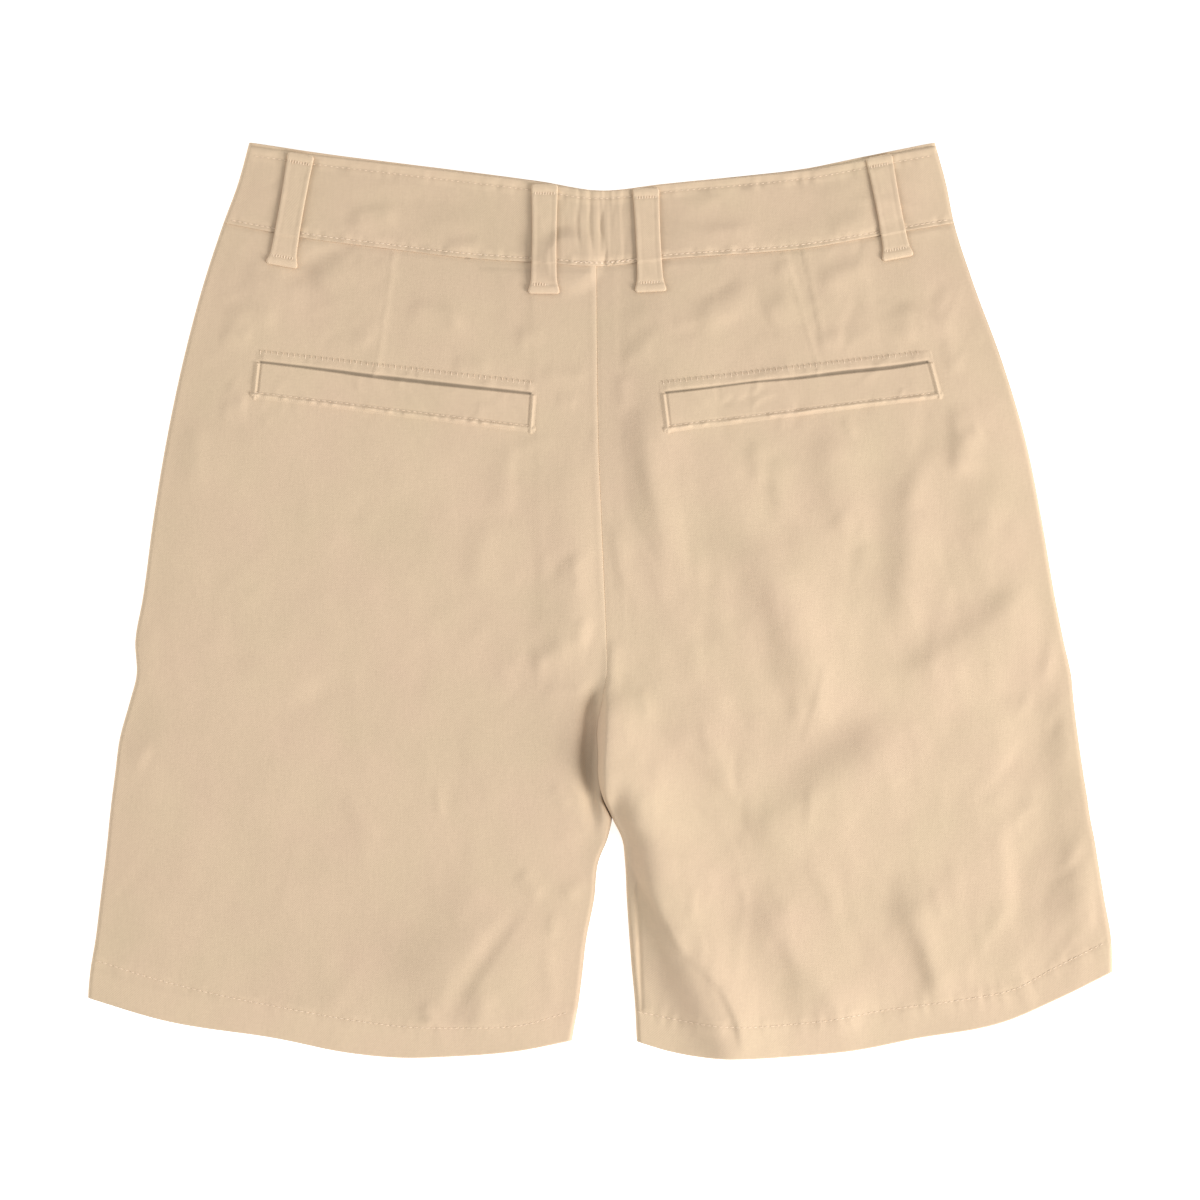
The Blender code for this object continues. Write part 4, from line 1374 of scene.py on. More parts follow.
    def wrinkle_relief(self, x: Array, y: Array) -> Array:
        """Small wrinkles scattered over their areas.

        Args:
            x: Places across.
            y: Places along.

        Returns:
            The heights.
        """
        total = np.zeros(x.shape)
        for fold in self.small:
            reach = 2.2 * max(fold.left, fold.right)
            near = (x > min(fold.x0, fold.x1) - reach) & (x < max(fold.x0, fold.x1) + reach)
            near &= (y > min(fold.y0, fold.y1) - reach) & (y < max(fold.y0, fold.y1) + reach)
            if near.any():
                total[near] += self.form.fold_relief(fold, x[near], y[near])
        return total

    def panel_height(self, leg: Leg) -> Height:
        """The height of one leg's panel, with its edges at the seams and the hem.

        Args:
            leg: The leg.

        Returns:
            The height, as a function of place.
        """

        def height(x: Array, y: Array) -> Array:
            """Height of the panel's outer face.

            Args:
                x: Places across.
                y: Places along.

            Returns:
                The heights.
            """
            z = self.height(x, y)
            beside = (x - self.seam_x(y)) * leg.value
            joined = 1 - self.form.turned(y)
            mouth = bell(y - self.mouth_y, 30)
            if leg is Leg.LEFT:
                z = z + self.ridge * bell(beside - 1.9, 1.8) * joined * ease_step(y, -30, 20)
                z = z - 0.15 * bell(beside, 0.6) * joined - self.mouth_drop * mouth * bell(beside, 8)
            else:
                z = z - self.seam_sink * bell(beside, 1.7) * joined
                z = z + self.mouth_rise * mouth * bell(beside, 7)
                z = z - rounded_drop(beside, 1.6) * mouth * joined
            z = z - self.waist_sink * bell(self.form.seam_line(self.form.waist_share(x)) - y, 1.6)
            return z - rounded_drop(y - self.form.hems[leg](x), self.hem_drop)

        return height

    def gathered(self, x: Array, y: Array) -> Array:
        """Height of the waistband before its edges are turned.

        Args:
            x: Places across.
            y: Places along.

        Returns:
            The heights.
        """
        bent = x + 1.3 * self.noise[4](y / 13, x / 40)
        uneven = 0.45 + 0.4 * self.noise[5](x / 5, y / 16)
        streaks = 0.34 * self.noise[6](x / 1.7 + y / 50, y / 24) * bell(x, 19)
        return self.height(x, y) + self.form.band_proud + self.form.gather_relief(bent) * uneven + streaks

    def top(self, x: Array, y: Array) -> Array:
        """Height of the topmost cloth, on the waistband or below it."""
        on_band = y > self.form.seam_line(self.form.waist_share(x))
        return np.where(on_band, self.gathered(x, y), self.height(x, y))


class NodeGraph:
    """A node tree that is filled node by node."""

    def __init__(self, tree: bpy.types.NodeTree) -> None:
        """Keep the tree."""
        self.tree = tree

    def add(self, kind: str, inputs: dict | None = None, **settings: object) -> bpy.types.Node:
        """Add one node.

        Args:
            kind: The node's type.
            inputs: For each input's name or number, a value or the socket that feeds it.
            settings: The node's own settings.

        Returns:
            The node.
        """
        node = self.tree.nodes.new(kind)
        for key, value in settings.items():
            setattr(node, key, value)
        for key, value in (inputs or {}).items():
            if isinstance(value, bpy.types.NodeSocket):
                self.tree.links.new(value, node.inputs[key])
            else:
                node.inputs[key].default_value = value
        return node

    def math(self, operation: str, *values: object) -> bpy.types.NodeSocket:
        """The result of one sum."""
        return self.add("ShaderNodeMath", dict(enumerate(values)), operation=operation).outputs[0]


def new_group(name: str, inputs: dict[str, float], outputs: Sequence[str]) -> tuple[NodeGraph, object]:
    """A shader node group with float sockets.

    Args:
        name: The group's name.
        inputs: Names and default values of its inputs.
        outputs: Names of its outputs.

    Returns:
        Its graph, and its input node.
    """
    tree = bpy.data.node_groups.new(name, "ShaderNodeTree")
    for key, value in inputs.items():
        socket = tree.interface.new_socket(key, in_out="INPUT", socket_type="NodeSocketFloat")
        socket.default_value = value
    for key in outputs:
        tree.interface.new_socket(key, in_out="OUTPUT", socket_type="NodeSocketFloat")
    return NodeGraph(tree), tree.nodes.new("NodeGroupInput")


def diagonal_weave_group() -> bpy.types.NodeTree:
    """Ribs of a twill weave with uneven yarns, on the cloth's own grain.

    Returns:
        The group's tree.
    """
    graph, given = new_group("Diagonal weave", {"Pitch": 0.0009, "Slub": 0.5}, ["Height", "Yarn"])
    grain = graph.add("ShaderNodeUVMap", uv_map="grain")
    place = graph.add("ShaderNodeSeparateXYZ", {0: grain.outputs["UV"]})
    u, v = place.outputs["X"], place.outputs["Y"]
    slant = graph.math("ADD", u, graph.math("MULTIPLY", v, 0.75))
    turns = graph.math("DIVIDE", slant, given.outputs["Pitch"])
    ribs = graph.math("SINE", graph.math("MULTIPLY", turns, 2 * math.pi))
    along = graph.add("ShaderNodeCombineXYZ", {"X": graph.math("MULTIPLY", u, 0.3), "Y": v})
    yarn = graph.add("ShaderNodeTexNoise", {"Vector": along.outputs[0], "Scale": 900.0, "Detail": 2.0})
    upright = graph.add("ShaderNodeCombineXYZ", {"X": u, "Y": graph.math("MULTIPLY", v, 0.2)})
    warp = graph.add("ShaderNodeTexNoise", {"Vector": upright.outputs[0], "Scale": 700.0, "Detail": 2.0})
    uneven = graph.math("MULTIPLY", graph.math("ADD", yarn.outputs[0], warp.outputs[0]), 0.5)
    height = graph.math("MULTIPLY_ADD", uneven, given.outputs["Slub"], graph.math("MULTIPLY", ribs, 0.25))
    graph.add("NodeGroupOutput", {"Height": height, "Yarn": uneven})
    return graph.tree


def wash_group() -> bpy.types.NodeTree:
    """Soft patches where the dye is a little paler or darker, near 1.

    Returns:
        The group's tree.
    """
    graph, given = new_group("Wash", {"Scale": 14.0, "Amount": 0.03}, ["Tone", "Patch"])
    place = graph.add("ShaderNodeTexCoord").outputs["Object"]
    broad = graph.add("ShaderNodeTexNoise", {"Vector": place, "Scale": given.outputs["Scale"], "Detail": 3.0})
    centred = graph.math("SUBTRACT", broad.outputs[0], 0.5)
    tone = graph.math("MULTIPLY_ADD", centred, given.outputs["Amount"], 1.0)
    other = graph.add("ShaderNodeVectorMath", {0: place, 1: (0.31, 0.17, 0.0)}, operation="ADD")
    patch = graph.add("ShaderNodeTexNoise", {"Vector": other.outputs[0], "Scale": given.outputs["Scale"]})
    graph.add("NodeGroupOutput", {"Tone": tone, "Patch": patch.outputs[0]})
    return graph.tree


@dataclass
class NodeGroups:
    """The effects that several finishes share."""

    weave: bpy.types.NodeTree = field(default_factory=diagonal_weave_group)
    wash: bpy.types.NodeTree = field(default_factory=wash_group)


@dataclass(frozen=True)
class ClothFinish:
    """A woven cotton, with its dye and its weave, lightened or darkened by the painted light and shade that
    each piece carries.
    """

    name: str
    colour: tuple[float, float, float]
    warm: tuple[float, float, float]
    roughness: float = 0.92
    pitch: float = 0.0009
    relief: float = 0.00012
    wash: float = 0.10
    fleck: float = 0.16

    def material(self, groups: NodeGroups) -> bpy.types.Material:
        """Build the material.

        Args:
            groups: The shared effects.

        Returns:
            The material.
        """
        material = bpy.data.materials.new(self.name)
        material.use_nodes = True
        shader = material.node_tree.nodes["Principled BSDF"]
        graph = NodeGraph(material.node_tree)
        weave = graph.add("ShaderNodeGroup", node_tree=groups.weave)
        weave.inputs["Pitch"].default_value = self.pitch
        weave.inputs["Slub"].default_value = 0.9
        wash = graph.add("ShaderNodeGroup", node_tree=groups.wash)
        wash.inputs["Amount"].default_value = self.wash
        wash.inputs["Scale"].default_value = 26.0
        hue = graph.add("ShaderNodeMix", {
            0: wash.outputs["Patch"], 6: (*self.colour, 1), 7: (*self.warm, 1),
        }, data_type="RGBA")
        # the piece's painted light and shade: up to 15% lighter where positive, down to 30% as bright where
        # negative
        wear = graph.add("ShaderNodeAttribute", attribute_name="wear").outputs["Fac"]
        painted_light_gain = graph.add("ShaderNodeMapRange", {0: wear, 1: 0.0, 2: 1.0, 3: 1.0, 4: 1.15})
        deep = graph.add("ShaderNodeMapRange", {0: wear, 1: -1.0, 2: 0.0, 3: 0.3, 4: 1.0})
        edge = graph.math("MULTIPLY", painted_light_gain.outputs[0], deep.outputs[0])
        uneven = graph.math("SUBTRACT", weave.outputs["Yarn"], 0.5)
        fleck = graph.math("MULTIPLY_ADD", uneven, self.fleck, 1.0)
        tone = graph.math("MULTIPLY", graph.math("MULTIPLY", edge, fleck), wash.outputs["Tone"])
        colour = graph.add("ShaderNodeVectorMath", {0: hue.outputs[2], "Scale": tone}, operation="SCALE")
        bump = graph.add("ShaderNodeBump", {
            "Height": weave.outputs["Height"], "Distance": self.relief, "Strength": 1.0,
        })
        material.node_tree.links.new(colour.outputs[0], shader.inputs["Base Color"])
        material.node_tree.links.new(bump.outputs[0], shader.inputs["Normal"])
        shader.inputs["Roughness"].default_value = self.roughness
        shader.inputs["Specular IOR Level"].default_value = 0.15
        shader.inputs["Sheen Weight"].default_value = 0.1
        return material


@dataclass(frozen=True)
class PlainFinish:
    """A finish of one colour with soft patches, for thread, horn and the table."""

    name: str
    colour: tuple[float, float, float]
    roughness: float
    patches: float = 0.0
    scale: float = 14.0
    glow: float = 0.0

    def material(self, groups: NodeGroups) -> bpy.types.Material:
        """Build the material.

        Args:
            groups: The shared effects.

        Returns:
            The material.
        """
        material = bpy.data.materials.new(self.name)
        material.use_nodes = True
        shader = material.node_tree.nodes["Principled BSDF"]
        graph = NodeGraph(material.node_tree)
        wash = graph.add("ShaderNodeGroup", node_tree=groups.wash)
        wash.inputs["Scale"].default_value = self.scale
        wash.inputs["Amount"].default_value = self.patches
        colour = graph.add("ShaderNodeVectorMath", {
            0: self.colour, "Scale": wash.outputs["Tone"],
        }, operation="SCALE")
        material.node_tree.links.new(colour.outputs[0], shader.inputs["Base Color"])
        shader.inputs["Roughness"].default_value = self.roughness
        shader.inputs["Specular IOR Level"].default_value = 0.3
        shader.inputs["Emission Color"].default_value = (1, 1, 1, 1)
        shader.inputs["Emission Strength"].default_value = self.glow
        return material


TWILL = ClothFinish("sand twill", (0.735, 0.540, 0.386), (0.698, 0.549, 0.368))
TAPE = ClothFinish("woven tape", (0.66, 0.50, 0.34), (0.66, 0.50, 0.34), pitch=0.0012, wash=0.02)
THREAD = PlainFinish("sewing thread", (0.90, 0.71, 0.53), 0.8, 0.1, 300.0)
HORN = PlainFinish("horn", (0.35, 0.22, 0.12), 0.35, 0.9, 160.0)
PAPER = PlainFinish("pale table", (0.95, 0.95, 0.95), 0.9, glow=0.6)


@dataclass
class Workroom:
    """What every piece needs: the form, the back cloth, the stitch and the finishes."""

    form: GarmentForm = field(default_factory=GarmentForm)

    def __post_init__(self) -> None:
        """Make the shared stitch and materials."""
        self.cloth = BackCloth(self.form)
        self.stitch = StitchShape()
        groups = NodeGroups()
        self.twill = TWILL.material(groups)
        self.tape = TAPE.material(groups)
        self.thread = THREAD.material(groups)
        self.horn = HORN.material(groups)
        self.paper = PAPER.material(groups)

    def settle(
        self, piece: bpy.types.Object, material: bpy.types.Material, slot: Slot, *nodes: str
    ) -> bpy.types.Object:
        """Give a piece its finish, its body and its place among the solids.

        Args:
            piece: The piece.
            material: Its finish.
            slot: The record's slot of that finish; not used.
            nodes: Names of the solids that it stands for.

        Returns:
            The piece.
        """
        piece.data.materials.clear()
        piece.data.materials.append(material)
        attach(piece, BODY)
        if nodes:
            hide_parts(*nodes)
        log.info("%s: %d faces", piece.name, len(piece.data.polygons))
        return piece

    def sew(
        self, name: str, rows: Sequence[tuple[StitchRow, Height]], lift: float = 0.08
    ) -> bpy.types.Object:
        """Make the stitches of some rows one piece.

        Args:
            name: The piece's name.
            rows: Rows, each with the height of the cloth under it.
            lift: How far the stitches stand off the cloth.

        Returns:
            The piece.
        """
        groups = [row.stitches(self.stitch, surface, lift) for row, surface in rows]
        return self.settle(self.stitch.repeated(name, groups), self.thread, Slot.TWILL)


def leg_sheet(
    form: GarmentForm,
    leg: Leg,
    inner: Curve,
    start_x: float,
    drop: float,
    hem_lift: float,
    rows: Array,
    interior: Array,
    tuck: float = 0.0,
) -> Sheet:
    """The sheet of one leg panel.

    Args:
        form: The garment's form.
        leg: Which leg.
        inner: X of the edge above the crotch.
        start_x: X of that edge at the waist seam.
        drop: Share of the front's fall that its waist has.
        hem_lift: How far the hem lies up from the leg's lower edge.
        rows: Shares of the length where rows lie.
        interior: Shares of the width where columns lie, between both turned edges.
        tuck: How far its seam allowances reach under the pieces that it is sewn to.

    Returns:
        The sheet.
    """
    hem_x = [point[0] for point in HEMS[leg]]
    hem_start, hem_end = (hem_x[-1], hem_x[0]) if leg is Leg.LEFT else (hem_x[0], hem_x[-1])
    outer_top = float(form.sides[leg](form.seam_line(0.0)))

    def inner_edge(y: Array) -> Array:
        """X of the inseam, and of the centre seam above it.

        Args:
            y: Places along.

        Returns:
            The places.
        """
        below = form.inseams[leg](y)
        edge = np.where(y < form.crotch_y, below, inner(y)) + leg.value * form.seam_gap / 2
        return edge - leg.value * tuck * 0.5 * (1 - form.turned(y)) * (leg is Leg.RIGHT)

    def bottom(share: Array) -> Array:
        """Y of the hem's lower edge."""
        return form.hems[leg](hem_start + (hem_end - hem_start) * share) + hem_lift

    def top(share: Array) -> Array:
        """Y of the edge that is sewn to the waistband."""
        across = form.waist_share(start_x + (outer_top - start_x) * share)
        return form.seam_line(across) - drop * form.front_fall(across) - form.seam_gap / 2 + tuck

    return Sheet(inner_edge, form.sides[leg], bottom, top, rows, interior, form.turned, form.roll)


def band_sheet(
    form: GarmentForm,
    inner: Curve,
    outer: Curve,
    start: float,
    end: float,
    drop: float,
    rows: Array,
    interior: Array,
    turn: Curve,
) -> Sheet:
    """The sheet of a stretch of the waistband.

    Args:
        form: The garment's form.
        inner: X of its inner edge.
        outer: X of its outer edge.
        start: Where it starts, as a share of the way across.
        end: Where it ends.
        drop: Share of the front's fall that it has.
        rows: Shares of its height where rows lie.
        interior: Shares of its width where columns lie.
        turn: Where its inner edge turns round.

    Returns:
        The sheet.
    """

    def bottom(share: Array) -> Array:
        """Y of the band's lower edge."""
        across = start + (end - start) * share
        return form.seam_line(across) - drop * form.front_fall(across) + form.seam_gap / 2

    def top(share: Array) -> Array:
        """Y of the band's upper edge."""
        across = start + (end - start) * share
        return form.top_line(across) - drop * form.front_fall(across)

    return Sheet(inner, outer, bottom, top, rows, interior, turn, form.roll)


@dataclass
class BackPanels:
    """Both back legs: turned-up hems, darts and the centre-back seam."""

    room: Workroom
    wall: float = 0.9
    hem_wall: float = 2.0
    row_step: float = 2.1
    fine_row: float = 0.9
    column_step: float = 1.32
    hem_zone: float = 25.0
    tuck: float = 0.7
    flat: tuple[float, float] = (0.285, 0.452)

    def build(self) -> None:
        """Make and dress both panels and their stitches."""
        form = self.room.form
        cloth = self.room.cloth
        length = form.top_of_leg - form.hem_level
        zones = [
            (0, 2, 0.4), (2, self.hem_zone, self.fine_row), (length - 6, length, 0.6),
        ]
        levels = spaced(length, self.row_step, zones)
        interior = spaced(250, self.column_step, [(0, 7, 0.6)])[1:-1] / 250
        hem_rows = int((levels < form.hem_depth).sum())
        seam_x = float(cloth.seam_x(form.seam_line(0.5)))
        seam_height = (form.edge_height + form.turn_gap) / 2
        for leg in Leg:
            start_x = seam_x + leg.value * form.seam_gap / 2
            sheet = leg_sheet(form, leg, cloth.seam_x, start_x, 0, 0, levels / length, interior, self.tuck)
            height = cloth.panel_height(leg)
            points = sheet.points(height, seam_height)
            x, y = points[..., 0], points[..., 1]
            rows = [cloth.hems[leg]]
            rows += [row for row in cloth.darts if (row.points[0][0] > 0) == (leg is Leg.RIGHT)]
            above_hem = y - form.hems[leg](x)
            # painted light and shade from the cloth, the centre seam and the hem row; the hem strip is drawn
            # lighter
            tone = cloth.tone(x, y) + cloth.panel_tone(leg, x, y)
            tone = tone + sum(cloth.hem_edge_pale * row.tone(x, y) for row in rows[:1])
            tone = tone + 0.2 * (1 - ease_step(above_hem, 13, 17))
            name = f"back_panel_{leg.name.lower()}"
            piece = cloth_piece(f"{name}_cloth", points, self.wall, cloth_grain(points), tone,
                                hem=(hem_rows, self.hem_wall))
            self.room.settle(piece, self.room.twill, Slot.TWILL, name)
            stitches = self.room.sew(f"hem_stitches_{leg.name.lower()}", [(cloth.hems[leg], height)])


@dataclass
class FrontPanels:
    """Both front legs, which rest on the table, with the left one lapped over the fly."""

    room: Workroom
    wall: float = 0.9
    hem_wall: float = 1.6
    step: float = 3.0
    lift: float = 0.0
    flat: tuple[float, float] = (0.280, 0.440)
    fly_stitch_x: float = 33.0

    def fly_edge(self, y: Array) -> Array:
        """X of the right front's inner edge, with the fly extension above the fly's base.

        Args:
            y: Places along.

        Returns:
            The places.
        """
        form = self.room.form
        extension = form.fly_extension * ease_step(y, form.fly_base_y, form.fly_base_y + 10)
        return form.centre_front(y) - extension

    def lapped(self, wall: float) -> Height:
        """Height of a right front piece, which passes under a left one of that wall.

        Args:
            wall: Wall of the left piece.

        Returns:
            The height, as a function of place.
        """
        form = self.room.form

        def height(x: Array, y: Array) -> Array:
            """Height of the piece's outer face."""
            step = wall + form.lay_gap + form.lap_slack
            return form.front_height(x, y) + step * form.lap_share(x, y)

        return height

    def hem_row(self, leg: Leg) -> StitchRow:
        """The stitches of one front hem.

        Args:
            leg: The leg.

        Returns:
            The row.
        """
        form = self.room.form
        points = [(x, float(form.hems[leg](x)) + 16.5) for x in np.linspace(
            HEMS[leg][0][0] + 8, HEMS[leg][-1][0] - 8, 9)]
        return StitchRow(f"front_hem_{leg.name.lower()}", points, pucker=0.0)

    def build(self) -> None:
        """Make and dress both panels and their stitches."""
        form = self.room.form
        length = form.top_of_leg - form.hem_level
        levels = spaced(length, self.step, [(0, 3, 0.8), (14, 19, 1.0)])
        interior = spaced(250, self.step, [(0, 40, 1.5)])[1:-1] / 250
        hem_rows = int((levels < form.hem_depth).sum())
        seam_height = (form.edge_height - form.turn_gap) / 2
        seam_x = float(form.centre_front(form.fly_top_y))
        for leg, inner, start_x, height in (
            (Leg.LEFT, form.centre_front, seam_x, form.front_height),
            (Leg.RIGHT, self.fly_edge, seam_x - form.fly_extension, self.lapped(form.cloth)),
        ):
            row = self.hem_row(leg)
            rows = [row]
            if leg is Leg.LEFT:
                side = self.fly_stitch_x
                base = form.fly_base_y
                rows.append(StitchRow("fly", (
                    (seam_x - side, 152.0), (seam_x - side, base + 45), (seam_x - side + 8, base + 14),
                    (seam_x - side + 24, base - 4), (seam_x + 1, base - 10)), pucker=0.0))

            def grooved(x: Array, y: Array) -> Array:
                """The front's height with grooves pressed up into it along its stitches."""
                return height(x, y) + sum(0.35 * bell(r.path.nearest(x, y, 4)[0], 1.4) for r in rows)

            sheet = leg_sheet(form, leg, inner, start_x, 1, form.front_hem_lift, levels / length,
                              interior)
            points = sheet.points(grooved, seam_height)
            name = f"front_panel_{leg.name.lower()}"
            piece = cloth_piece(f"{name}_cloth", points, self.wall, cloth_grain(points),
                                faces_down=True, hem=(hem_rows, self.hem_wall))
            self.room.settle(piece, self.room.twill, Slot.TWILL, name)
            stitches = self.room.sew(f"front_stitches_{leg.name.lower()}", [(r, grooved) for r in rows], 0.0)


@dataclass
class Waistband:
    """The back waistband and the two front ends, the right one lapped under the left."""

    room: Workroom
    wall: float = 0.8
    step: float = 1.0
    edge_radius: float = 0.6
    low_stitch: float = 2.3
    high_stitch: float = 4.6
    back_flat: tuple[float, float] = (0.396, 0.043)
    front_flat: tuple[float, float] = (0.215, 0.048)

    def line(self, share: float, start: float, end: float, drop: float = 0) -> list[tuple[float, float]]:
        """Points that follow the band.

        Args:
            share: Place between the band's lower edge at 0 and its upper edge at 1.
            start: First X.
            end: Last X.
            drop: Share of the front's fall that the band has.

        Returns:
            The points.
        """
        form = self.room.form
        points = []
        for x in np.linspace(start, end, 19):
            across = form.waist_share(x)
            low = form.seam_line(across) - drop * form.front_fall(across)
            high = form.top_line(across) - drop * form.front_fall(across)
            points.append((float(x), float(low + (high - low) * share)))
        return points

    def back_rows(self) -> list[StitchRow]:
        """The stitches along the back band's lower and upper edges.

        Returns:
            Both rows.
        """
        height = 41.0
        return [
            StitchRow("band_low", self.line(self.low_stitch / height, -192, 181), thread=0.5,
                      pucker=0.25, pucker_reach=3.2, groove=0.25, groove_width=0.8),
            StitchRow("band_high", self.line(1 - self.high_stitch / height, -180, 172), thread=0.4,
                      stitch=1.6, pucker=0.3, pucker_reach=4.0, groove=0.22, groove_width=0.9),
        ]

    def tack(self) -> StitchRow:
        """The short double tack over the gathers at the middle of the seam."""
        return StitchRow("gather_tack", self.line(0.045, -14, 21), pitch=2.6, stitch=1.6,
                         thread=0.7, pucker=0.0, groove=0.1)

    def build_back(self) -> None:
        """Make and dress the back band and its stitches."""
        form = self.room.form
        cloth = self.room.cloth
        sewn = self.back_rows()

        def surface(x: Array, y: Array) -> Array:
            """Height of the band's flat face."""
            return cloth.gathered(x, y) + sum(row.relief(x, y) for row in sewn)

        def height(x: Array, y: Array) -> Array:
            """Height of the band with its two folded edges.

            Args:
                x: Places across.
                y: Places along.

            Returns:
                The heights.
            """
            across = form.waist_share(x)
            below = y - form.seam_line(across) - form.seam_gap / 2
            above = form.top_line(across) - y
            z = surface(x, y) - rounded_drop(below, self.edge_radius)
            return z - rounded_drop(above, self.edge_radius + 0.4)

        levels = spaced(41.5, self.step, [(0, 1.0, 0.22), (1.0, 6, 0.6), (35.5, 40, 0.6), (40, 42, 0.3)])
        interior = spaced(370, self.step, [(178, 212, 0.7)])[1:-1] / 370
        sheet = band_sheet(form, form.sides[Leg.LEFT], form.sides[Leg.RIGHT], 0.0, 1.0, 0,
                           levels / 41.5, interior, np.ones_like)
        points = sheet.points(height, (form.edge_height + form.turn_gap) / 2)
        x, y = points[..., 0], points[..., 1]
        below_top = form.top_line(form.waist_share(x)) - y
        # painted light and shade from the cloth and the stitch rows; the band is drawn lighter along its top
        # edge
        tone = cloth.tone(x, y) + sum(0.5 * row.tone(x, y) for row in sewn)
        tone = tone + 0.25 * (1 - ease_step(below_top, 2.5, 4.5))
        piece = cloth_piece("waistband_back_cloth", points, self.wall, cloth_grain(points), tone)
        self.room.settle(piece, self.room.twill, Slot.TWILL, "waistband_back")
        stitches = self.room.sew("waistband_stitches", [(row, surface) for row in [*sewn, self.tack()]])

    def build_fronts(self, fronts: FrontPanels) -> None:
        """Make and dress the two front ends.

        Args:
            fronts: The front panels, which give the height where the right end is lapped.
        """
        form = self.room.form
        seam_height = (form.edge_height - form.turn_gap) / 2
        centre_x = float(form.centre_front(form.fly_top_y))
        levels = spaced(41.5, 2.0, [(0, 6, 0.9), (35, 41.5, 0.9)]) / 41.5
        interior = spaced(180, 2.0, [])[1:-1] / 180
        for leg, start_x, end, height in (
            (Leg.LEFT, centre_x, 0.0, form.front_height),
            (Leg.RIGHT, centre_x - form.band_lap, 1.0, fronts.lapped(form.band_wall)),
        ):
            side_x = -178.0 if leg is Leg.LEFT else 168.0
            rows = [
                StitchRow(f"front_band_{number}", self.line(share, start_x, side_x, 1), pucker=0.0)
                for number, share in enumerate((0.06, 0.9))
            ]

            def grooved(x: Array, y: Array) -> Array:
                """The band's height with grooves pressed up into it along its stitches."""
                return height(x, y) + sum(0.35 * bell(r.path.nearest(x, y, 4)[0], 1.2) for r in rows)

            start = float(form.waist_share(start_x))
            sheet = band_sheet(form, lambda y, x=start_x: np.full_like(y, x), form.sides[leg], start,
                               end, 1, levels, interior, np.zeros_like)
            points = sheet.points(grooved, seam_height)
            name = f"waistband_front_{leg.name.lower()}"
            piece = cloth_piece(f"{name}_cloth", points, self.wall, cloth_grain(points), faces_down=True)
            self.room.settle(piece, self.room.twill, Slot.TWILL, name)
            stitches = self.room.sew(f"{name}_stitches", [(r, grooved) for r in rows], 0.0)


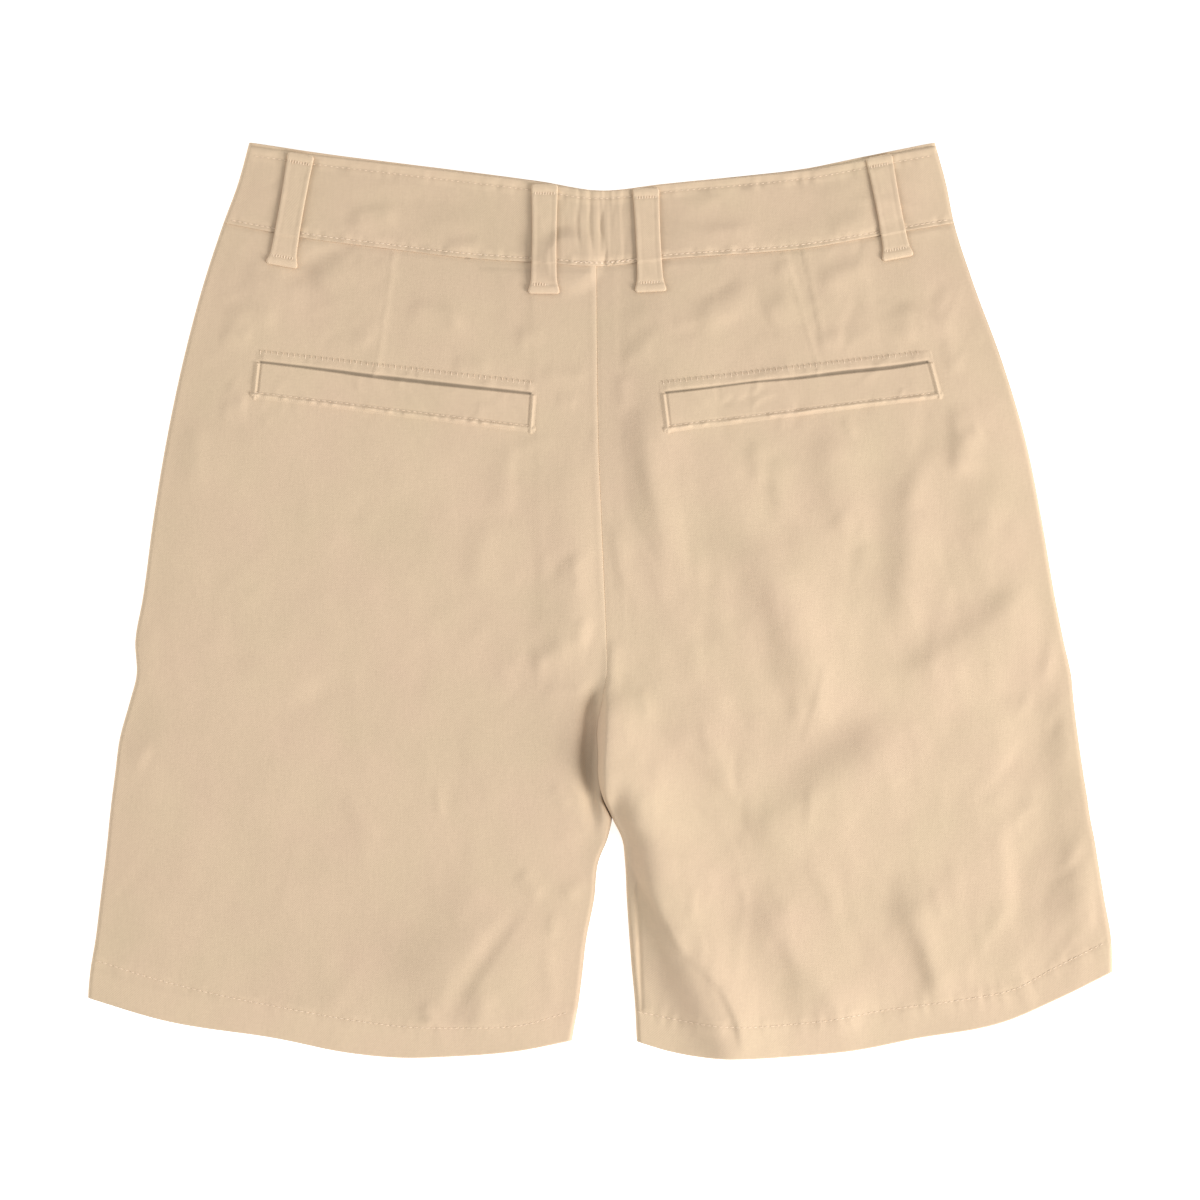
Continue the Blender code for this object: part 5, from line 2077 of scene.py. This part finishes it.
@dataclass
class BeltLoops:
    """Four belt loops on the back, tacked down at both ends, and two on the front."""

    room: Workroom
    wall: float = 1.0
    rows: int = 96
    columns: int = 27
    waist: float = 0.6
    flare: float = 1.5
    edge_fold: float = 2.6
    tack_in: float = 5.0
    arch: float = 0.45
    gap: float = 0.2
    flat: tuple[float, float] = (0.014, 0.062)

    def frame(self, strap: Strap) -> tuple[Array, Array, Array, Array]:
        """A loop's grid, from its lower end up.

        Args:
            strap: The loop's ends.

        Returns:
            X and Y, the distance from its middle line, and the distance from its lower end.
        """
        run, up_x, up_y = strap.axis()
        steps = spaced(run, run / self.rows, [(0, 1.2, 0.3), (run - 1.2, run, 0.3)])[:, None]
        half = self.room.form.strap_width / 2 - self.waist * np.sin(np.pi * steps / run)
        half = half + self.flare * bell(steps, 4.5)
        corner = np.minimum(steps, run - steps)
        half = half - rounded_drop(corner, 2.0)
        across = np.sin(np.linspace(-math.pi / 2, math.pi / 2, self.columns)) * 0.35
        across = across + np.linspace(-1, 1, self.columns) * 0.65
        aside = half * across[None, :]
        x = strap.end_x + up_x * steps + up_y * aside
        y = strap.end_y + up_y * steps - up_x * aside
        return x, y, aside, steps + 0 * aside

    def lift(self, strap: Strap, aside: Array, along: Array) -> Array:
        """Height of a loop's face over a flat base.

        Args:
            strap: The loop.
            aside: Distances from its middle line.
            along: Distances from its lower end.

        Returns:
            The heights.
        """
        run = strap.axis()[0]
        width = np.abs(aside).max(axis=1, keepdims=True)
        inward = width - np.abs(aside)
        end = np.minimum(along, run - along)
        folds = 0.14 * (1 - ease_step(inward, self.edge_fold - 0.9, self.edge_fold + 0.6))
        folds = folds - 0.08 * bell(inward - self.edge_fold, 0.8)
        folds = folds * ease_step(end, 2, 6)
        tack = -0.3 * bell(end - self.tack_in, 0.9) + 0.3 * bell(end - 2.2, 1.7)
        waves = 0.1 * self.room.cloth.noise[6](aside / 4 + strap.top_x, along / 6)
        edges = rounded_drop(inward, 0.9) + rounded_drop(end, 1.0)
        arch = self.arch * np.sin(np.pi * np.clip(along / run, 0, 1)) ** 0.6
        return folds + tack + waves - edges + arch

    def tone(self, strap: Strap, aside: Array, along: Array) -> Array:
        """Painted light on the loop: a little paler overall with a random mottle, painted highlights on both
        folded ends and along both edges, and painted shade in the tack and edge-fold lines.

        Args:
            strap: The loop.
            aside: Distance from its middle line.
            along: Distance up from its low end.

        Returns:
            The tones.
        """
        run = strap.axis()[0]
        inward = np.abs(aside).max(axis=1, keepdims=True) - np.abs(aside)
        mottle = 0.12 * self.room.cloth.noise[7](aside / 2 + strap.top_x, along / 3)
        ends = 0.35 * (1 - ease_step(along, 3.2, 4.2)) + 0.3 * (1 - ease_step(run - along, 4.2, 5.6))
        lines = 0.12 * bell(along - self.tack_in + 0.6, 0.6) + 0.08 * bell(inward - self.edge_fold, 0.5)
        return 0.12 + mottle + ends + 0.15 * bell(inward, 0.9) - lines

    def tacks(self, strap: Strap) -> list[StitchRow]:
        """The stitches across both ends of a loop.

        Args:
            strap: The loop.

        Returns:
            The rows.
        """
        run, up_x, up_y = strap.axis()
        rows = []
        for along in (self.tack_in, run - self.tack_in):
            x = strap.end_x + up_x * along
            y = strap.end_y + up_y * along
            rows.append(StitchRow("tack", (
                (x - 5.6 * up_y, y + 5.6 * up_x), (x, y), (x + 5.6 * up_y, y - 5.6 * up_x)),
                pitch=1.3, stitch=1.7, thread=0.55, crosswise=True))
        return rows

    def build(self) -> None:
        """Make and dress the loops and their tacks."""
        cloth = self.room.cloth
        sewn = []
        for strap in BACK_STRAPS:
            x, y, aside, along = self.frame(strap)
            support = cloth.top(x, y)
            level = (support + support.mean(axis=1, keepdims=True)) / 2
            z = np.maximum(level, support - 0.15) + self.gap + self.wall + self.lift(strap, aside, along)
            points = np.dstack([x, y, z])
            piece = cloth_piece(f"{strap.name}_strap", points, self.wall, np.dstack([aside, along]),
                                self.tone(strap, aside, along))
            self.room.settle(piece, self.room.twill, Slot.TWILL, strap.name)
            for row, index in zip(self.tacks(strap), (self.tack_in, along[-1, 0] - self.tack_in)):
                level = float(np.interp(index, along[:, 0], z[:, self.columns // 2]))
                sewn.append((row, lambda x, y, level=level: np.full_like(x, level)))
        self.room.sew("belt_loop_tacks", sewn, 0.1)
        for strap in FRONT_STRAPS:
            x, y, aside, along = self.frame(strap)
            z = np.maximum(0.9 - self.lift(strap, aside, along) * 0.5 - 0.45, 0.0)
            z = z * (bell(np.maximum(self.room.form.strap_width / 2 - np.abs(aside), 0), 1.5))
            piece = cloth_piece(f"{strap.name}_strap", np.dstack([x, y, z]), self.wall,
                                np.dstack([aside, along]), faces_down=True)
            self.room.settle(piece, self.room.twill, Slot.TWILL, strap.name)


@dataclass
class PocketWelts:
    """The two welt pockets: a strip in a thin raised frame, under a mouth that gapes unevenly."""

    room: Workroom
    wall: float = 0.3
    margin: float = 2.4
    reach: float = 8.0
    frame_in: float = 0.9
    frame_width: float = 0.95
    frame_height: float = 1.0
    groove_in: float = 2.5
    strip_height: float = 0.5
    lip_up: float = 1.5
    lip_height: float = 0.75
    flat: tuple[float, float] = (0.158, 0.036)

    def grid(self, welt: Welt) -> tuple[Array, Array, Array, Array, float, float]:
        """A welt's grid, from below its lower edge to above its lip.

        Args:
            welt: The welt's corners.

        Returns:
            X, Y, distance up from the lower edge, distance along it, its height and its length.
        """
        low = np.array([[welt.low_x0, welt.low_y0], [welt.low_x1, welt.low_y1]])
        high = np.array([[welt.x0, welt.y0], [welt.x1, welt.y1]])
        length = float(np.linalg.norm(low[1] - low[0]))
        depth = float(np.linalg.norm(high.mean(axis=0) - low.mean(axis=0)))
        edge = self.margin
        up = spaced(depth + self.reach + edge, 0.55, [(edge, 6, 0.4), (depth - 2, depth + 4, 0.36)]) - edge
        along = spaced(length + 2 * edge, 0.62, [(0, 6, 0.42), (length - 2, length + 2 * edge, 0.42)]) - edge
        share_up = (up / depth)[:, None, None]
        share_along = (along / length)[None, :, None]
        start = low[0] + (high[0] - low[0]) * share_up
        end = low[1] + (high[1] - low[1]) * share_up
        place = start + (end - start) * share_along
        rise = up[:, None] + 0 * place[..., 0]
        run = along[None, :] + 0 * place[..., 0]
        return place[..., 0], place[..., 1], rise, run, depth, length

    def mouth(self, welt: Welt, run: Array, depth: float, length: float) -> tuple[Array, Array]:
        """Places of a mouth's lower and upper edges, up from the welt's lower edge.

        Args:
            welt: The welt.
            run: Distance along it.
            depth: Height of the welt.
            length: Length of the welt.

        Returns:
            The places.
        """
        shares = np.linspace(0, length, len(welt.gapes))
        gape = np.interp(run, shares, welt.gapes)
        high = depth + 0.3 * self.room.cloth.noise[3](run / 24 + welt.x0, 0 * run)
        return high - gape, high

    def lift(self, welt: Welt, rise: Array, run: Array, depth: float, length: float) -> Array:
        """Height of a welt over the panel.

        Args:
            welt: The welt.
            rise: Distance up from the lower edge.
            run: Distance along it.
            depth: Height of the welt.
            length: Length of the welt.

        Returns:
            The heights.
        """
        end = np.minimum(run, length - run)
        noise = self.room.cloth.noise
        puckers = noise[7](run / 2.9 + welt.x0, rise / 12)
        slow = noise[8](run / 17 + welt.x0, rise / 30)
        streaks = noise[5](run / 5 + rise / 6, rise / 9)
        low, high = self.mouth(welt, run, depth, length)
        sill = bell(rise - self.frame_in - 0.3 * slow, self.frame_width + 0.2) * (1 + 0.5 * puckers)
        frame = self.frame_height * np.maximum(sill, bell(end - self.frame_in, self.frame_width))
        inside = ease_step(np.minimum(rise, end), self.groove_in - 0.6, self.groove_in + 1.0)
        strip = self.strip_height * inside * (1 + 0.25 * slow) + 0.1 * streaks * inside
        over = rise - high - self.lip_up
        lip = np.where(over < 0, bell(over, 1.2), bell(over, 3.6)) * (1 + 0.2 * slow)
        total = (frame + strip) * (1 - ease_step(rise, low - 0.5, low + 0.3))
        total = total + self.lip_height * lip * ease_step(end, -0.5, 4)
        total = total + 0.14 * puckers * bell(over - 1.5, 2.6)
        fade = ease_step(np.minimum(rise, end), -self.margin, -0.3)
        fade = fade * (1 - ease_step(rise, depth + self.reach - 3.5, depth + self.reach))
        return (total + 0.12) * fade - 0.3 * (1 - fade)

    def tone(self, welt: Welt, rise: Array, run: Array, depth: float, length: float) -> Array:
        """Painted shade in the mouth and the grooves, and painted highlights on the turned edges and the
        ticks.

        Args:
            welt: The welt.
            rise: Distance up from the lower edge.
            run: Distance along it.
            depth: Height of the welt.
            length: Length of the welt.

        Returns:
            The tones.
        """
        end = np.minimum(run, length - run)
        low, high = self.mouth(welt, run, depth, length)
        puckers = self.room.cloth.noise[7](run / 2.9 + welt.x0, rise / 12)
        dark = ease_step(rise, low - 0.5, low + 0.4) * (1 - ease_step(rise, high - 0.3, high + 0.6))
        dark = dark * ease_step(end, 0.8, 2.4)
        under = (rise > 1.5) & (rise < high)
        groove = bell(rise - self.groove_in, 0.5) * (end > 1.5) + bell(end - self.groove_in, 0.5) * under
        pale = 0.55 * bell(rise - self.frame_in, 1.0) * (0.7 + 0.6 * puckers) * (end > 0)
        pale = np.maximum(pale, 0.5 * bell(end - self.frame_in, 0.9) * (rise > 0) * (rise < high))
        ticks = 0.5 * np.maximum(puckers, 0) * bell(rise - high - 4.0, 2.6)
        return pale + ticks - 0.8 * dark - 0.26 * groove

    def build(self) -> None:
        """Make and dress both welts and their stitches."""
        cloth = self.room.cloth
        for leg, welt in zip(Leg, WELTS):
            x, y, rise, run, depth, length = self.grid(welt)
            z = cloth.height(x, y) + self.lift(welt, rise, run, depth, length)
            points = np.dstack([x, y, z])
            piece = cloth_piece(f"{welt.name}_cloth", points, self.wall, cloth_grain(points),
                                cloth.tone(x, y) + self.tone(welt, rise, run, depth, length))
            self.room.settle(piece, self.room.twill, Slot.TWILL, welt.name)
            rows = []
            for level, crosswise in ((self.groove_in - 0.3, False), (depth + 4.8, True)):
                index = int(np.abs(rise[:, 0] - level).argmin())
                line = [(x[index, column], y[index, column]) for column in range(6, x.shape[1] - 6, 12)]
                heights = np.interp
                row = StitchRow("welt", line, thread=0.35, stitch=2.6 if crosswise else 2.0,
                                pitch=2.9, crosswise=crosswise)
                rows.append((row, lambda px, py, index=index: heights(px, x[index], z[index])))
            stitches = self.room.sew(f"{welt.name}_stitches", rows, 0.06)


@dataclass
class Fly:
    """The zip's tape with its coil, and the shield behind it, between front and back."""

    room: Workroom
    tape_width: float = 14.0
    shield_inner: float = 6.0
    shield_outer: float = 28.0
    top_clear: float = 12.0
    wall: float = 0.7

    def build(self) -> None:
        """Make and dress the tape, its coil and the shield."""
        form = self.room.form
        layer = form.cloth + form.lay_gap
        start = form.fly_extension + form.seam_gap
        for name, inner, outer, base, level, material, slot in (
            ("fly_zip", start + self.tape_width, start, 10, layer, self.room.tape, Slot.TAPE),
            ("fly_shield", self.shield_outer, -self.shield_inner, 6, 2 * layer + form.lap_slack,
             self.room.twill, Slot.TWILL),
        ):
            rows = np.linspace(form.fly_base_y + base, form.fly_top_y - self.top_clear, 70)[:, None]
            x = form.centre_front(rows) + np.linspace(-inner, -outer, 20)
            y = rows + 0 * x
            points = np.dstack([x, y, level + form.front_height(x, y)])
            piece = cloth_piece(f"{name}_cloth", points, self.wall, cloth_grain(points), faces_down=True)
            self.room.settle(piece, material, slot, name)
        low, high = form.fly_base_y + 12, form.fly_top_y - self.top_clear - 3
        line = [(float(form.centre_front(y)) - start - 2.6, float(y)) for y in np.linspace(low, high, 9)]
        coil = StitchRow("coil", line, pitch=1.4, stitch=3.2, thread=1.0, crosswise=True)

        def over_tape(x: Array, y: Array) -> Array:
            """Height of the tape's lower face."""
            return layer + form.front_height(x, y)

        self.room.sew("zip_coil", [(coil, over_tape)], -0.15)


@dataclass
class WaistButton:
    """A four-hole button with a raised rim, sewn on with two threads."""

    room: Workroom
    rim: float = 1.5
    dish: float = 0.6
    hole_radius: float = 0.9
    hole_offset: float = 1.9

    def build(self) -> None:
        """Turn the disc, drill it and sew it on."""
        form = self.room.form
        centre_x, centre_y = form.button_place()
        radius, depth = form.button_radius, form.button_depth
        deselect_all()
        bpy.ops.mesh.primitive_cylinder_add(
            vertices=64, radius=radius * MM, depth=depth * MM,
            location=(centre_x * MM, centre_y * MM, depth / 2 * MM))
        button = bpy.context.object
        button.name = "waist_button_disc"
        bpy.ops.object.transform_apply(location=True, rotation=True, scale=True)
        for down in (True, False):
            self.hollow(button, down, self.dish if down else 0.2)
        bevel = button.modifiers.new("Edge", "BEVEL")
        bevel.width = 0.35 * MM
        bevel.segments = 3
        bevel.limit_method = "ANGLE"
        bpy.ops.object.modifier_apply(modifier=bevel.name)
        for side_x in (-1, 1):
            for side_y in (-1, 1):
                self.drill(button, centre_x + side_x * self.hole_offset,
                           centre_y + side_y * self.hole_offset)
        button.data.shade_smooth()
        button.data.set_sharp_from_angle(angle=math.radians(35))
        self.room.settle(button, self.room.horn, Slot.BUTTON, "waist_button")
        threads = []
        for side in (-1, 1):
            y = centre_y + side * self.hole_offset
            row = StitchRow("button_thread", (
                (centre_x - 2.6, y - 0.25), (centre_x, y), (centre_x + 2.6, y + 0.25)),
                pitch=5.2, stitch=4.8, thread=0.9)
            threads.append((row, lambda px, py: np.full_like(px, self.dish + 0.15)))
        self.room.sew("waist_button_thread", threads, 0.0)

    def hollow(self, button: bpy.types.Object, down: bool, dish: float) -> None:
        """Sink one face of the disc inside its rim.

        Args:
            button: The disc.
            down: Whether it is the lower face.
            dish: How deep.
        """
        bpy.ops.object.mode_set(mode="EDIT")
        bpy.ops.mesh.select_mode(type="FACE")
        bpy.ops.mesh.select_all(action="DESELECT")
        bpy.ops.object.mode_set(mode="OBJECT")
        for face in button.data.polygons:
            face.select = face.normal.z < -0.9 if down else face.normal.z > 0.9
        bpy.ops.object.mode_set(mode="EDIT")
        bpy.ops.mesh.inset(thickness=self.rim * MM)
        bpy.ops.transform.translate(value=(0, 0, dish * MM if down else -dish * MM))
        bpy.ops.object.mode_set(mode="OBJECT")

    def drill(self, button: bpy.types.Object, x: float, y: float) -> None:
        """Cut one hole through the disc.

        Args:
            button: The disc.
            x: The hole's X.
            y: The hole's Y.
        """
        deselect_all()
        bpy.ops.mesh.primitive_cylinder_add(
            vertices=20, radius=self.hole_radius * MM, depth=8 * MM, location=(x * MM, y * MM, MM))
        bit = bpy.context.object
        deselect_all()
        button.select_set(True)
        bpy.context.view_layer.objects.active = button
        cut = button.modifiers.new("Hole", "BOOLEAN")
        cut.object = bit
        bpy.ops.object.modifier_apply(modifier=cut.name)
        bpy.data.objects.remove(bit)


@dataclass
class Studio:
    """The pale table, the soft light from the right and the camera straight above."""

    room: Workroom
    table_size: float = 6.0
    camera_height: float = 1.5
    seen_width: float = 0.624
    cloth_level: float = 0.006
    world: float = 0.5
    key_energy: float = 104.0
    key_place: tuple[float, float, float] = (2.5, -1.2, 1.35)
    key_size: float = 1.3
    fill_energy: float = 20.0
    fill_place: tuple[float, float, float] = (-2.4, 0.8, 1.0)

    def build(self) -> None:
        """Lay the table, hang the lights and set the camera."""
        deselect_all()
        bpy.ops.mesh.primitive_plane_add(size=self.table_size, location=(0, 0, -0.0004))
        table = bpy.context.object
        table.name = "table"
        bpy.ops.object.transform_apply(location=True, rotation=False, scale=True)
        table.data.materials.append(self.room.paper)
        scene = bpy.context.scene
        world = bpy.data.worlds.new("studio air")
        world.use_nodes = True
        world.node_tree.nodes["Background"].inputs["Color"].default_value = (1, 1, 1, 1)
        world.node_tree.nodes["Background"].inputs["Strength"].default_value = self.world
        scene.world = world
        self.lamp("key", self.key_place, self.key_size, self.key_energy)
        self.lamp("fill", self.fill_place, self.key_size, self.fill_energy)
        data = bpy.data.cameras.new("camera")
        data.sensor_width = 36.0
        data.lens = 36.0 * (self.camera_height - self.cloth_level) / self.seen_width
        data.clip_start = 0.05
        camera = bpy.data.objects.new("camera", data)
        camera.location = (0, 0, self.camera_height)
        scene.collection.objects.link(camera)
        scene.camera = camera
        scene.view_settings.view_transform = "Standard"
        scene.view_settings.look = "None"

    def lamp(self, name: str, place: tuple[float, float, float], size: float, energy: float) -> None:
        """Hang one square lamp that faces the middle of the table.

        Args:
            name: Its name.
            place: Where it hangs.
            size: Length of its sides.
            energy: Its power in watts.
        """
        data = bpy.data.lights.new(name, "AREA")
        data.shape = "SQUARE"
        data.size = size
        data.energy = energy
        lamp = bpy.data.objects.new(name, data)
        lamp.location = place
        lamp.rotation_euler = Vector(place).to_track_quat("Z", "Y").to_euler()
        bpy.context.scene.collection.objects.link(lamp)


def main() -> None:
    """Build the garment's pieces in the order in which they lie, then the stage."""
    logging.basicConfig(level=logging.INFO, format="%(name)s: %(message)s")
    room = Workroom()
    fronts = FrontPanels(room)
    fronts.build()
    BackPanels(room).build()
    band = Waistband(room)
    band.build_fronts(fronts)
    band.build_back()
    BeltLoops(room).build()
    PocketWelts(room).build()
    Fly(room).build()
    WaistButton(room).build()
    Studio(room).build()


if __name__ == "__main__":
    main()
